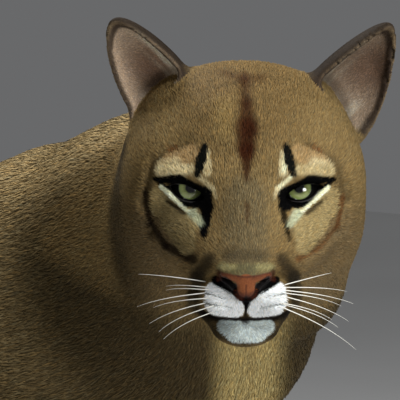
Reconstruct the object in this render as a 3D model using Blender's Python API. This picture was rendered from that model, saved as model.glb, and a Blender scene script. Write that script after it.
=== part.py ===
"""A cougar standing still, life size, its head turned to its right.

Metres, +Z up.  The body faces -Y and the animal's left side is +X.  The flesh is a set of
balls and limbs (tapered rounds) that blend into one another.  Each named piece of the body is
that blended surface, cut off square from its neighbours with a thin gap.
"""
from dataclasses import dataclass
from math import cos, pi, radians, sin

import bmesh
import bpy
import numpy as np
from mathutils import Matrix, Vector

# Driving sizes
GAP = 0.0003                    # space left between two pieces
HEAD_TURN = radians(56)         # head turned to the animal's right
HEAD_DOWN = radians(20)         # nose held down
EYES_AT = np.array([-0.165, -0.565, 0.700])     # the point midway between the eyes
EYE_RADIUS = 0.0172
EYE_SIDE = 0.0392               # from the middle of the face to the middle of an eye
EYE_DEEP = 0.0165               # the middle of an eye lies this far behind the cornea line
EYE_LOW = 0.0080
LID_THICK = 0.0033
GAZE_UP = radians(24)           # the opening of the lids looks up by this from the head's line
GAZE_OUT = radians(13)
LID_SLANT = radians(11)         # outer corner of the eye above the inner
WITHERS = 0.658
NECK_CUT_BACK = 0.128           # the cut behind the head, from the eyes
FORE_SWING = {1: -0.035, -1: 0.040}     # left forefoot is set forward, right one back
HIND_SWING = {1: 0.055, -1: -0.050}
SMOOTH_ROUNDS = 3
FINE = 0.0046                   # facet size on the head
MIDDLE = 0.0115                 # on the legs and tail
COARSE = 0.021                  # on the trunk
PAW = 0.0085                    # on the feet
NECK = 0.0150                   # on the neck
SLOPE_STEP = 0.0004             # the field's slope is read over this far
WELD = 2e-5                     # corners nearer than this are one
LID_DEPTH = (0.004, 0.034)      # the opening of the lids is cut from here to here, out from the eye
BELLY_CUT = 0.005               # the trunk reaches this far below the top of the hind legs' slices
HEAD_KEPT = 0.23                # share of the facets kept, fewest where the form is flattest
BODY_KEPT = 0.18

FUR = (0.24, 0.17, 0.085, 1.0)
PALE_FUR = (0.42, 0.34, 0.22, 1.0)
IRIS = (0.20, 0.28, 0.11, 1.0)


def head_axes():
    """Rows: forward along the nose, the animal's left, and up, for the turned head."""
    flat = np.array([-sin(HEAD_TURN), -cos(HEAD_TURN), 0.0])
    forward = cos(HEAD_DOWN) * flat - sin(HEAD_DOWN) * np.array([0.0, 0.0, 1.0])
    left = np.array([cos(HEAD_TURN), -sin(HEAD_TURN), 0.0])
    return np.array([forward, left, np.cross(forward, left)])


HEAD = head_axes()


def turned(pitch=0.0, yaw=0.0, roll=0.0):
    """Rows of a frame tipped by pitch (x axis up), yaw (towards +y) and roll (about x)."""
    across = Matrix.Rotation(yaw, 3, "Z") @ Matrix.Rotation(-pitch, 3, "Y")
    return np.array((across @ Matrix.Rotation(roll, 3, "X")).transposed())


def unit(vector):
    vector = np.asarray(vector, dtype=float)
    return vector / np.linalg.norm(vector)


def blend(a, b, width):
    """Smaller of two distances, rounded where they are within width of each other."""
    near = np.maximum(width - np.abs(a - b), 0) / width
    return np.minimum(a, b) - near * near * width * 0.25


@dataclass
class Ball:
    """An ellipsoid of flesh; a paired one has a twin across the middle of the body."""

    centre: tuple
    radii: tuple
    width: float = 0.03
    turn: np.ndarray = None
    paired: bool = False

    def distance(self, points):
        """|p/r| (|p/r| - 1) / |p/r^2|, in the ball's own axes."""
        local = points - np.array(self.centre)
        if self.turn is not None:
            local = local @ self.turn.T
        radii = np.array(self.radii)
        inner = np.linalg.norm(local / radii, axis=1) + 1e-12
        return inner * (inner - 1) / (np.linalg.norm(local / radii**2, axis=1) + 1e-12)

    def place(self):
        axes = np.eye(3) if self.turn is None else self.turn
        spin = Matrix(axes.T.tolist()).to_4x4()
        return Matrix.Translation(self.centre) @ spin @ Matrix.Diagonal((*self.radii, 1.0))

    def add_to(self, bm, frame):
        bmesh.ops.create_icosphere(bm, subdivisions=3, radius=1.0, matrix=frame @ self.place())


@dataclass
class Limb:
    """A round that tapers from one end ball to the other, flattened along one direction."""

    start: tuple
    end: tuple
    start_radius: float
    end_radius: float
    width: float = 0.03
    side: tuple = (1.0, 0.0, 0.0)
    flat: float = 1.0
    paired: bool = False

    def distance(self, points):
        """Distance to the middle line, less the radius there, squashed along side."""
        start, side = np.array(self.start), unit(self.side)
        line = np.array(self.end) - start
        local = points - start
        along = np.clip(local @ line / (line @ line), 0, 1)
        away = local - along[:, None] * line
        out = away @ side
        away = away + (out * (1 / self.flat - 1))[:, None] * side
        radius = self.start_radius + (self.end_radius - self.start_radius) * along
        return (np.linalg.norm(away, axis=1) - radius) * min(self.flat, 1.0)

    def add_to(self, bm, frame):
        """The hull of a ball at each end."""
        squash = Matrix.Scale(self.flat, 4, Vector(unit(self.side)))
        spots = []
        for at, radius in ((self.start, self.start_radius), (self.end, self.end_radius)):
            place = frame @ Matrix.Translation(at) @ squash @ Matrix.Scale(radius, 4)
            spots += [bm.verts.new(place @ point) for point in round_points()]
        hull = bmesh.ops.convex_hull(bm, input=spots, use_existing_faces=False)
        inside = [v for v in hull["geom_interior"] if isinstance(v, bmesh.types.BMVert)]
        bmesh.ops.delete(bm, geom=inside, context="VERTS")


def round_points():
    """The corners of a unit ball."""
    bm = bmesh.new()
    bmesh.ops.create_icosphere(bm, subdivisions=3, radius=1.0)
    points = [vertex.co.copy() for vertex in bm.verts]
    bm.free()
    return points


class Group:
    """Flesh that belongs together, in its own frame, with the ball that bounds it."""

    def __init__(self, masses, width=0.035, origin=(0.0, 0.0, 0.0), axes=None):
        self.masses = masses
        self.width = width
        self.origin = np.array(origin)
        self.axes = np.eye(3) if axes is None else axes
        self.bound()

    def bound(self):
        """Middle and reach of the balls and limb ends."""
        spots = []
        for mass in self.masses:
            if isinstance(mass, Ball):
                spots.append((mass.centre, max(mass.radii)))
            else:
                spots += [(mass.start, mass.start_radius), (mass.end, mass.end_radius)]
        places = np.array([at for at, _ in spots], dtype=float)
        reach = np.array([radius for _, radius in spots])[:, None]
        self.middle = ((places - reach).min(0) + (places + reach).max(0)) / 2
        self.reach = (np.linalg.norm(places - self.middle, axis=1) + reach[:, 0]).max()

    def distance(self, points):
        """Blended distance near the group, and the distance to its bounding ball elsewhere."""
        local = (points - self.origin) @ self.axes.T
        result = np.linalg.norm(local - self.middle, axis=1) - self.reach
        near = result < 0.06
        if not near.any():
            return result
        local = local[near]
        folded = local * np.array([1.0, 0.0, 1.0]) + np.abs(local) * np.array([0.0, 1.0, 0.0])
        total = None
        for mass in self.masses:
            here = mass.distance(folded if mass.paired else local)
            total = here if total is None else blend(total, here, mass.width)
        result[near] = total
        return result

    def add_to(self, bm):
        """Add every mass as a closed primitive, and the twin of each paired one."""
        spin = Matrix(self.axes.T.tolist()).to_4x4()
        frame = Matrix.Translation(self.origin) @ spin
        for mass in self.masses:
            mass.add_to(bm, frame)
            if mass.paired:
                mass.add_to(bm, frame @ Matrix.Scale(-1, 4, (0, 1, 0)))


def head_group():
    """Skull, cheeks, brow, bridge, muzzle and chin, from the point between the eyes."""
    eye = (-EYE_DEEP, EYE_SIDE, -EYE_LOW)
    lid = EYE_RADIUS + LID_THICK
    skull = [
        Ball((-0.074, 0, 0.006), (0.070, 0.065, 0.056)),
        Ball((-0.036, 0, 0.007), (0.046, 0.053, 0.034), 0.030, turned(-0.42)),
        Ball((-0.094, 0.038, 0.003), (0.040, 0.041, 0.036), 0.030, paired=True),
        Ball((-0.052, 0.0585, -0.020), (0.046, 0.033, 0.050), 0.022, paired=True),
        Ball((-0.060, 0.048, -0.066), (0.048, 0.040, 0.042), 0.026, paired=True),
    ]
    jaw = [
        Limb((-0.045, 0.036, -0.076), (0.030, 0.014, -0.088), 0.026, 0.014, 0.018, paired=True),
        Ball((-0.055, 0, -0.074), (0.060, 0.045, 0.034)),
        Ball((-0.085, 0.039, -0.118), (0.050, 0.042, 0.047), 0.030, paired=True),
    ]
    face = [
        Ball((0.000, 0.038, -0.038), (0.034, 0.026, 0.026), 0.016, turned(0.35, -0.35), True),
        Ball((0.026, 0.025, -0.043), (0.030, 0.017, 0.022), 0.016, turned(0.30, -0.20), True),
        Limb((0.002, 0, -0.012), (0.052, 0, -0.035), 0.0275, 0.0212, 0.018, (0, 0, 1), 0.88),
        Ball((0.046, 0.0160, -0.0578), (0.027, 0.0175, 0.0168), 0.007, turned(0.15, 0.25), True),
        Ball((0.030, 0, -0.060), (0.036, 0.030, 0.023), 0.012),
        Ball((0.044, 0, -0.0870), (0.025, 0.0250, 0.0140), 0.006, turned(0.12)),
        Ball((-0.0125, 0.0360, 0.0115), (0.015, 0.026, 0.0085), 0.012, turned(0, 0.42, -0.22), True),
    ]
    nose = [
        Ball((0.0660, 0, -0.0315), (0.0125, 0.0200, 0.0090), 0.005, turned(0.35)),
        Ball((0.0705, 0, -0.0400), (0.0090, 0.0105, 0.0115), 0.005, turned(0.1)),
    ]
    lids = [Ball(eye, (lid, lid, lid), 0.006, None, True)]
    return Group(skull + jaw + face + nose + lids, 0.035, EYES_AT, HEAD)


def neck_group():
    return Group([
        Limb((0, -0.258, 0.555), (-0.012, -0.385, 0.617), 0.116, 0.103, 0.06, (1, 0, 0), 0.88),
        Limb((-0.012, -0.38, 0.615), (-0.074, -0.487, 0.676), 0.103, 0.088, 0.06, (0.9, -0.5, 0), 0.97),
        Ball((-0.024, -0.432, 0.572), (0.092, 0.090, 0.098), 0.05),
        Ball((0, -0.275, 0.592), (0.080, 0.062, 0.100), 0.03),
    ], 0.06)


def trunk_group():
    back = WITHERS
    return Group([
        Ball((0, -0.200, back - 0.154), (0.116, 0.195, 0.142)),
        Ball((0, 0.020, back - 0.133), (0.112, 0.235, 0.118), 0.10),
        Ball((0, 0.200, back - 0.106), (0.098, 0.200, 0.100), 0.10),
        Ball((0, 0.320, back - 0.093), (0.098, 0.130, 0.098), 0.08),
        Limb((0, -0.27, back - 0.062), (0, -0.12, back - 0.068), 0.050, 0.045, 0.07),
        Ball((0, -0.350, back - 0.183), (0.088, 0.080, 0.100), 0.07),
    ])


def foot(at, half, width):
    """A broad foot: a palm and four toes in an arc, sunk below the floor to be cut flat."""
    x, y = at
    size = half / 0.0475
    masses = [Ball((x, y + 0.006 * size, 0.026), (0.042 * size, 0.046 * size, 0.030), width)]
    for step in (-1.5, -0.5, 0.5, 1.5):
        ahead = 0.056 - 0.012 * step * step
        toe = (x + 0.0215 * step * size, y - ahead * size + 0.009, 0.019)
        masses.append(Ball(toe, (0.0138 * size, 0.027 * size, 0.022), 0.006))
    return masses


def foreleg(side):
    """Shoulder blade, arm, forearm and foot, the foot swung along y."""
    swing = FORE_SWING[side]
    blade = (0.060 * side, -0.238, WITHERS - 0.056)
    shoulder = (0.094 * side, -0.338, 0.490)
    elbow = (0.092 * side, -0.255 + 0.25 * swing, 0.395)
    wrist = (0.084 * side, -0.290 + 0.85 * swing, 0.160)
    ankle = (0.084 * side, -0.303 + swing, 0.062)
    behind = (elbow[0], elbow[1] + 0.020, elbow[2] - 0.020)
    return Group([
        Limb(blade, shoulder, 0.050, 0.064, 0.03, flat=0.62),
        Ball((0.088 * side, -0.275 + swing / 2, 0.490), (0.048, 0.095, 0.100), 0.05),
        Limb(shoulder, elbow, 0.068, 0.056, 0.03, flat=0.80),
        Limb(elbow, wrist, 0.053, 0.036, 0.03, flat=0.92),
        Ball(behind, (0.036, 0.036, 0.056), 0.03),
        Limb(wrist, ankle, 0.036, 0.037, 0.02, flat=1.08),
        *foot((ankle[0], ankle[1] - 0.022), 0.0500, 0.02),
    ])


def hindleg(side):
    """Thigh, shank, hock and foot."""
    swing = HIND_SWING[side]
    hip = (0.064 * side, 0.312, 0.572)
    knee = (0.092 * side, 0.205 + 0.35 * swing, 0.420)
    hock = (0.088 * side, 0.400 + 0.72 * swing, 0.238)
    ankle = (0.086 * side, 0.362 + swing, 0.060)
    ham = ((0.062 * side, 0.368, 0.556), (0.086 * side, 0.325 + 0.4 * swing, 0.405))
    heel = (hock[0], hock[1] + 0.006, hock[2] + 0.010)
    return Group([
        Limb(hip, knee, 0.108, 0.070, 0.03, flat=0.64),
        Limb(*ham, 0.084, 0.058, 0.05, flat=0.70),
        Limb(knee, hock, 0.064, 0.034, 0.04, flat=0.80),
        Limb(hock, ankle, 0.033, 0.034, 0.018, flat=0.95),
        Ball(heel, (0.023, 0.030, 0.036), 0.02),
        *foot((ankle[0], ankle[1] - 0.030), 0.0455, 0.02),
    ], 0.05)


TAIL_LENGTH = 0.80
TAIL_STEPS = 18
TAIL_PARTS = (0.36, 0.68)       # where along its length the tail is parted


def tail_path():
    """Hangs from the croup, nearly upright at first, then sweeps out level near the floor."""
    at = np.array([0.0, 0.405, WITHERS - 0.052])
    path = [at]
    step = TAIL_LENGTH / TAIL_STEPS
    for index in range(TAIL_STEPS):
        share = index / (TAIL_STEPS - 1)
        droop = radians(-30 - 46 * sin(pi * min(share * 2.2, 1.0) / 2) + 106 * share**3.0)
        sway = 0.10 + 0.16 * share
        at = at + step * np.array([cos(droop) * sway, cos(droop), sin(droop)])
        path.append(at)
    return path


def tail_radius(share):
    """Thick at the root, then nearly even, a little thinner to the tip."""
    return 0.0255 - 0.004 * share + 0.018 * (1 - share)**8


def tail_group():
    path = tail_path()
    masses = []
    for index in range(TAIL_STEPS):
        thick, after = (tail_radius((index + step) / TAIL_STEPS) for step in (0, 1))
        masses.append(Limb(tuple(path[index]), tuple(path[index + 1]), thick, after, 0.003))
    return Group(masses, 0.05)


def flesh(points, groups):
    total = None
    for group in groups:
        here = group.distance(points)
        total = here if total is None else blend(total, here, group.width)
    return total


EAR = {     # root, tilt outwards, opening turned outwards, height, half width, narrowing to the tip
    1: ((-0.088, 0.0715, 0.012), 0.55, 0.50, 0.081, 0.0355, 0.60),
    -1: ((-0.086, 0.0605, 0.022), 0.555, 0.36, 0.076, 0.0290, 0.38),
}
EAR_DEEP = 0.023
EAR_BACK = 0.012
EAR_MIDDLE = 0.018
EAR_EDGE = (0.0034, 0.0028, 0.0005)     # the hollow is smaller than the ear by this
EAR_HOLLOW = (0.001, 0.0090)            # and lies this far up and forwards
EAR_FOOT = 1.06                         # width at the root over the width half way up


def surface(groups, spacing, kept=BODY_KEPT):
    """One skin over the groups' primitives, drawn onto the blended surface, then thinned out."""
    bm = bmesh.new()
    for group in groups:
        group.add_to(bm)
    bmesh.ops.recalc_face_normals(bm, faces=bm.faces)
    rough = make_object("rough", bm)
    remesh = rough.modifiers.new("one skin", "REMESH")
    remesh.mode = "VOXEL"
    remesh.voxel_size = spacing
    bm = evaluated(rough)
    bpy.data.objects.remove(rough)
    for _ in range(SMOOTH_ROUNDS):
        bmesh.ops.smooth_vert(
            bm, verts=bm.verts, factor=0.5, use_axis_x=True, use_axis_y=True, use_axis_z=True)
        settle(bm, groups, spacing)
    smooth = make_object("smooth", bm)
    smooth.modifiers.new("fewer facets", "DECIMATE").ratio = kept
    bm = evaluated(smooth)
    bpy.data.objects.remove(smooth)
    return bm


def face_out(bm):
    """Turn the faces of a closed shape outwards."""
    bm.normal_update()
    bmesh.ops.recalc_face_normals(bm, faces=bm.faces)
    if bm.calc_volume(signed=True) < 0:
        bmesh.ops.reverse_faces(bm, faces=bm.faces)


def make_object(name, bm):
    mesh = bpy.data.meshes.new(name)
    bm.to_mesh(mesh)
    bm.free()
    thing = bpy.data.objects.new(name, mesh)
    bpy.context.collection.objects.link(thing)
    return thing


def evaluated(thing):
    """The object's mesh with its modifiers, as a new bmesh."""
    bm = bmesh.new()
    bm.from_object(thing, bpy.context.evaluated_depsgraph_get())
    return bm


def settle(bm, groups, spacing, level=0.0):
    """Slide each vertex along the field's slope until its distance is level."""
    points = np.array([v.co for v in bm.verts])
    corners = np.array([(1, 1, 1), (1, -1, -1), (-1, 1, -1), (-1, -1, 1)])
    for _ in range(3):
        here = flesh(points, groups) - level
        slope = sum(corner * flesh(points + corner * SLOPE_STEP, groups)[:, None] for corner in corners)
        slope = slope / (4 * SLOPE_STEP)
        size = np.maximum(np.linalg.norm(slope, axis=1), 0.3)
        move = np.clip(here / size, -0.5 * spacing, 0.5 * spacing)
        points = points - slope / size[:, None] * move[:, None]
    for vertex, point in zip(bm.verts, points):
        vertex.co = point


def cut(bm, point, normal):
    """Cut off what lies beyond the plane, on the side the normal points to, and close it."""
    everything_in = list(bm.verts) + list(bm.edges) + list(bm.faces)
    bmesh.ops.bisect_plane(
        bm, geom=everything_in, dist=1e-7, plane_co=point, plane_no=normal, clear_outer=True)
    rim = [edge for edge in bm.edges if edge.is_boundary]
    bmesh.ops.holes_fill(bm, edges=rim, sides=0)
    bmesh.ops.recalc_face_normals(bm, faces=bm.faces)


def boolean(thing, cutter, operation, solver="EXACT"):
    """Apply a Boolean with the cutter, then remove the cutter."""
    modifier = thing.modifiers.new(operation.lower(), "BOOLEAN")
    modifier.operation = operation
    modifier.solver = solver
    modifier.object = cutter
    bm = evaluated(thing)
    thing.modifiers.remove(modifier)
    bm.to_mesh(thing.data)
    bm.free()
    bpy.data.objects.remove(cutter)


def block(low, high):
    """A box from its lowest to its highest corner."""
    low, high = Vector(low), Vector(high)
    bm = bmesh.new()
    place = Matrix.Translation((low + high) / 2) @ Matrix.Diagonal((*(high - low), 1.0))
    bmesh.ops.create_cube(bm, size=1.0, matrix=place)
    return bm


def in_head(point, side=1):
    """A place given forward, left and up from the eyes, in the room."""
    return Vector(EYES_AT + (np.array(point) * (1, side, 1)) @ HEAD)


def head_direction(vector, side=1):
    return Vector((np.array(vector) * (1, side, 1)) @ HEAD)


# Planes that part the body: a point on each and the direction towards its far side
def neck_plane():
    return in_head((-NECK_CUT_BACK, 0, -0.01)), Vector(unit((0.60, 0.72, -0.12)))


def shoulder_plane():
    return Vector((0, -0.300, WITHERS - 0.070)), Vector(unit((0, 0.84, -0.54)))


TAIL_CUT = 0.462                # the tail starts behind this
FORE_LEVELS = (0.340, 0.125)    # cuts above the forearm and above the paw
HIND_LEVELS = (0.355, 0.120)
FORE_CELL = ((0.034, -0.388, FORE_LEVELS[0]), (0.170, -0.165, 0.436))   # room of the left arm
HIND_CELL = ((0.016, 0.120, HIND_LEVELS[0]), (0.170, 0.482, 0.500))     # room of the left thigh
BELOW = 0.20                    # below the first cut a leg's room reaches this much further


def mirrored(cell, side, grow=0.0):
    """The cell on the given side of the body, larger all round by grow."""
    (x0, y0, z0), (x1, y1, z1) = cell
    x0, x1 = sorted((side * (x0 - grow), side * (x1 + grow)))
    return (x0, y0 - grow, z0 - grow), (x1, y1 + grow, z1 + grow)


def leg_pieces(side, group, cell, levels, names):
    """Three lengths of one leg, each a slice of the leg's cell between two levels."""
    low, high = mirrored(cell, side)
    tops = (high[2], levels[0] - GAP, levels[1] - GAP)
    bottoms = (levels[0], levels[1], 0.0)
    groups = [trunk_group(), group]
    if cell is FORE_CELL:
        groups.insert(1, neck_group())
    for name, top, bottom in zip(names, tops, bottoms):
        reach = 0 if top == high[2] else BELOW
        bm = surface(groups, PAW if bottom == 0.0 else MIDDLE)
        cut(bm, (0, 0, top), (0, 0, 1))
        cut(bm, (0, 0, bottom), (0, 0, -1))
        cut(bm, (low[0], 0, 0), (-1, 0, 0))
        cut(bm, (high[0], 0, 0), (1, 0, 0))
        cut(bm, (0, low[1] - reach, 0), (0, -1, 0))
        cut(bm, (0, high[1] + reach, 0), (0, 1, 0))
        finish(name, bm, FUR)


def torso_piece():
    legs = [leg(side) for leg in (foreleg, hindleg) for side in (1, -1)]
    bm = surface([trunk_group(), neck_group(), *legs, tail_group()], COARSE)
    point, normal = shoulder_plane()
    cut(bm, point + normal * GAP, -normal)
    cut(bm, (0, 0, HIND_LEVELS[0] - BELLY_CUT), (0, 0, -1))
    torso = make_object("torso", bm)
    for cell in (FORE_CELL, HIND_CELL):
        for side in (1, -1):
            boolean(torso, make_object("room", block(*mirrored(cell, side, GAP))), "DIFFERENCE")
    bm = evaluated(torso)
    bpy.data.objects.remove(torso)
    cut(bm, (0, TAIL_CUT, 0), (0, 1, 0))
    finish("torso", bm, FUR)


def keep_largest(bm):
    """Drop scraps that a cut left loose."""
    pieces = []
    left = set(bm.faces)
    while left:
        start = left.pop()
        piece, front = {start}, [start]
        while front:
            near = {f for e in front.pop().edges for f in e.link_faces} & left
            left -= near
            piece |= near
            front += near
        pieces.append(piece)
    pieces.sort(key=len, reverse=True)
    scraps = [face for piece in pieces[1:] for face in piece]
    bmesh.ops.delete(bm, geom=scraps, context="FACES")


def neck_piece():
    bm = surface([trunk_group(), neck_group(), foreleg(1), foreleg(-1), head_group()], NECK)
    point, normal = neck_plane()
    cut(bm, point + normal * GAP, -normal)
    cut(bm, *shoulder_plane())
    finish("neck", bm, FUR)


def head_piece():
    groups = [neck_group(), head_group()]
    bm = surface(groups, FINE, HEAD_KEPT)
    shell = bm.copy()
    settle(shell, groups, FINE, GAP)
    shell = make_object("shell", shell)
    cut(bm, *neck_plane())
    head = make_object("head", bm)
    for side in (1, -1):
        ear_piece(side, shell)
        for cutter in (socket(side), eye_opening(side), nostril(side)):
            boolean(head, cutter, "DIFFERENCE")
    boolean(head, mouth_line(), "DIFFERENCE")
    bpy.data.objects.remove(shell)
    bm = evaluated(head)
    bpy.data.objects.remove(head)
    finish("head", bm, FUR)


def eye_middle(side):
    return in_head((-EYE_DEEP, EYE_SIDE, -EYE_LOW), side)


def round_eye(name, side, radius):
    bm = bmesh.new()
    place = Matrix.Translation(eye_middle(side))
    bmesh.ops.create_uvsphere(bm, u_segments=20, v_segments=12, radius=radius, matrix=place)
    return make_object(name, bm)


def socket(side):
    return round_eye("socket", side, EYE_RADIUS + GAP)


def eye_piece(side):
    eye = round_eye("eye_left" if side > 0 else "eye_right", side, EYE_RADIUS)
    dress(eye, IRIS, 0.1)


def gaze_axes(side):
    """Out of the eye, outwards along the slanting lids, and up across them."""
    out = np.array([cos(GAZE_UP) * cos(GAZE_OUT), cos(GAZE_UP) * sin(GAZE_OUT), sin(GAZE_UP)])
    across = unit((-sin(GAZE_OUT), cos(GAZE_OUT), 0))
    over = np.cross(out, across)
    along = cos(LID_SLANT) * across + sin(LID_SLANT) * over
    up = cos(LID_SLANT) * over - sin(LID_SLANT) * across
    return [head_direction(axis, side) for axis in (out, along, up)]


LID_ARCS = ((0.0185, 0.0082), (0.0240, 0.0050))     # radius and height of the lower and upper lid
LID_SHIFT = -0.0010


def lid_half_width():
    """Half the chord at which the two arcs meet, above or below the eye's middle line."""
    (low_radius, low), (high_radius, high) = LID_ARCS
    apart = (low_radius - low) + (high_radius - high)
    along = (apart**2 + low_radius**2 - high_radius**2) / (2 * apart)
    return (low_radius**2 - along**2)**0.5


def eye_opening(side, steps=10):
    """The almond between the lids: two arcs, drawn out forwards from the eyeball."""
    out, along, up = gaze_axes(side)
    half = lid_half_width()
    (low_radius, low), (high_radius, high) = LID_ARCS
    sweep = np.cos(np.linspace(0, pi, steps + 1)) * half
    under = [(x, (low_radius - low) - (low_radius**2 - x * x)**0.5) for x in sweep]
    over = [(x, (high_radius**2 - x * x)**0.5 - (high_radius - high)) for x in -sweep[1:-1]]
    middle = eye_middle(side) + out * LID_DEPTH[0] + along * LID_SHIFT
    bm = bmesh.new()
    ring = [bm.verts.new(middle + along * x + up * y) for x, y in under + over]
    face = bm.faces.new(ring)
    drawn = bmesh.ops.extrude_face_region(bm, geom=[face])
    moved = [v for v in drawn["geom"] if isinstance(v, bmesh.types.BMVert)]
    bmesh.ops.translate(bm, verts=moved, vec=out * (LID_DEPTH[1] - LID_DEPTH[0]))
    face_out(bm)
    return make_object("opening", bm)


def tube(name, stops, side=1, segments=8):
    """A closed round tube through stops of (place, radius), for cutting a groove."""
    bm = bmesh.new()
    rings = []
    places = [in_head(at, side) for at, _ in stops]
    for index, (place, (_, radius)) in enumerate(zip(places, stops)):
        before, after = places[max(index - 1, 0)], places[min(index + 1, len(places) - 1)]
        turn = (after - before).to_track_quat("Z", "Y").to_matrix().to_4x4()
        made = bmesh.ops.create_circle(
            bm, cap_ends=index in (0, len(stops) - 1), segments=segments, radius=radius,
            matrix=Matrix.Translation(place) @ turn)
        rings.append(made["verts"])
    for one, two in zip(rings, rings[1:]):
        edges = {e for v in one + two for e in v.link_edges}
        edges = [e for e in edges if all(v in one for v in e.verts) or all(v in two for v in e.verts)]
        bmesh.ops.bridge_loops(bm, edges=edges)
    face_out(bm)
    return make_object(name, bm)


def nostril(side):
    return tube("nostril", [
        ((0.0830, 0.0070, -0.0400), 0.0036),
        ((0.0740, 0.0110, -0.0360), 0.0034),
        ((0.0650, 0.0155, -0.0336), 0.0024)], side)


MOUTH = {"front": (0.0740, 0.0, -0.0715), "bend": (0.050, 0.026, -0.0750), "corner": (0.012, 0.039, -0.0720)}


def mouth_line():
    """The parted line of the lips, from corner to corner round the front."""
    front, bend, corner = MOUTH["front"], MOUTH["bend"], MOUTH["corner"]
    mirror = [(x, -y, z) for x, y, z in (corner, bend)]
    stops = [(mirror[0], 0.0012), (mirror[1], 0.0020), (front, 0.0020), (bend, 0.0020), (corner, 0.0012)]
    return tube("mouth", stops)


def ear_piece(side, shell):
    """A cup: a narrow ball less a second one set forward, its foot cut to the head."""
    root, tilt, face, height, half, taper = EAR[side]
    up = unit((-0.12, sin(tilt), cos(tilt)))
    front = np.array([cos(face), sin(face), 0.18])
    front = unit(front - (front @ up) * up)
    across = np.cross(up, front)
    axes = [head_direction(axis, side) for axis in (across, up, front)]
    root = in_head(root, side)
    outer = np.array([half, height - EAR_MIDDLE, EAR_DEEP])
    cup = ear_ball(root, axes, outer, (0, 0), height, taper)
    hollow = ear_ball(root, axes, outer - EAR_EDGE, EAR_HOLLOW, height, taper)
    boolean(cup, hollow, "DIFFERENCE")
    clone = bpy.data.objects.new("foot", shell.data)
    bpy.context.collection.objects.link(clone)
    boolean(cup, clone, "DIFFERENCE")
    bm = evaluated(cup)
    bpy.data.objects.remove(cup)
    finish("ear_left" if side > 0 else "ear_right", bm, PALE_FUR)


def ear_ball(root, axes, radii, shift, height, taper):
    """A ball stretched to the ear's size and narrowed towards its tip."""
    bm = bmesh.new()
    bmesh.ops.create_uvsphere(bm, u_segments=16, v_segments=13, radius=1.0)
    for vertex in bm.verts:
        x, z, y = vertex.co
        up = y * radii[1] + EAR_MIDDLE + shift[0]
        narrow = EAR_FOOT - taper * min(max(up / height, -0.6), 1.2)
        across = x * radii[0] * narrow
        deep = z * radii[2] - EAR_BACK + shift[1]
        vertex.co = root + axes[0] * across + axes[1] * up + axes[2] * deep
    face_out(bm)
    return make_object("ear ball", bm)


def tail_pieces():
    path = tail_path()
    stops = [round(part * TAIL_STEPS) for part in TAIL_PARTS]
    for index, name in enumerate(("tail_base", "tail_middle", "tail_tip")):
        bm = surface([trunk_group(), tail_group()] if index == 0 else [tail_group()], MIDDLE)
        if index == 0:
            cut(bm, (0, TAIL_CUT + GAP, 0), (0, -1, 0))
        if index > 0:
            point, way = tail_plane(path, stops[index - 1])
            cut(bm, point + way * GAP, -way)
        if index < len(stops):
            cut(bm, *tail_plane(path, stops[index]))
        finish(name, bm, FUR)


def tail_plane(path, stop):
    """The plane square to the tail at one of its stops."""
    return Vector(path[stop]), Vector(path[stop + 1] - path[stop - 1]).normalized()


def finish(name, bm, colour):
    """Weld stray doubles, turn faces outwards and make the named piece."""
    bmesh.ops.remove_doubles(bm, verts=bm.verts, dist=WELD)
    bmesh.ops.dissolve_degenerate(bm, edges=bm.edges, dist=WELD)
    keep_largest(bm)
    bmesh.ops.triangulate(bm, faces=[f for f in bm.faces if len(f.verts) > 4])
    bmesh.ops.recalc_face_normals(bm, faces=bm.faces)
    dress(make_object(name, bm), colour, 0.8)


def dress(thing, colour, roughness):
    """Give the piece its own material and hang it on the animal's middle."""
    material = bpy.data.materials.new(thing.name)
    material.use_nodes = True
    shader = material.node_tree.nodes["Principled BSDF"]
    shader.inputs["Base Color"].default_value = colour
    shader.inputs["Roughness"].default_value = roughness
    shader.inputs["Metallic"].default_value = 0.0
    thing.data.materials.append(material)
    thing.data.shade_smooth()
    thing.data.set_sharp_from_angle(angle=radians(60))
    thing.parent = bpy.data.objects["cougar"]


def stand():
    """Shift the whole so that its bounding box stands with its middle at the origin."""
    whole = bpy.data.objects["cougar"]
    points = [v.co for thing in whole.children for v in thing.data.vertices]
    for axis in (0, 1):
        line = [p[axis] for p in points]
        whole.location[axis] = -(min(line) + max(line)) / 2


def main():
    for thing in list(bpy.data.objects):
        bpy.data.objects.remove(thing)
    whole = bpy.data.objects.new("cougar", None)
    bpy.context.collection.objects.link(whole)
    head_piece()
    for side, word in ((1, "left"), (-1, "right")):
        eye_piece(side)
        leg_pieces(side, foreleg(side), FORE_CELL, FORE_LEVELS,
                   (f"upper_foreleg_{word}", f"forearm_{word}", f"forepaw_{word}"))
        leg_pieces(side, hindleg(side), HIND_CELL, HIND_LEVELS,
                   (f"thigh_{word}", f"shank_{word}", f"hindpaw_{word}"))
    neck_piece()
    torso_piece()
    tail_pieces()
    stand()


if __name__ == "__main__":
    main()
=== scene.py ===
"""A cougar as a life-size standing model: skin, coat, eyes, nose, whiskers and claws.

The flesh is a set of balls and limbs that blend into one another, the same ones that the
solids are made of.  One skin is drawn over it, a little inside the solids, and the coat grows
on that skin as tufts.  Metres, +Z up; the body faces -Y and the animal's left side is +X.
"""
import logging
from dataclasses import dataclass, field
from enum import Enum
from math import cos, pi, radians, sin

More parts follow.
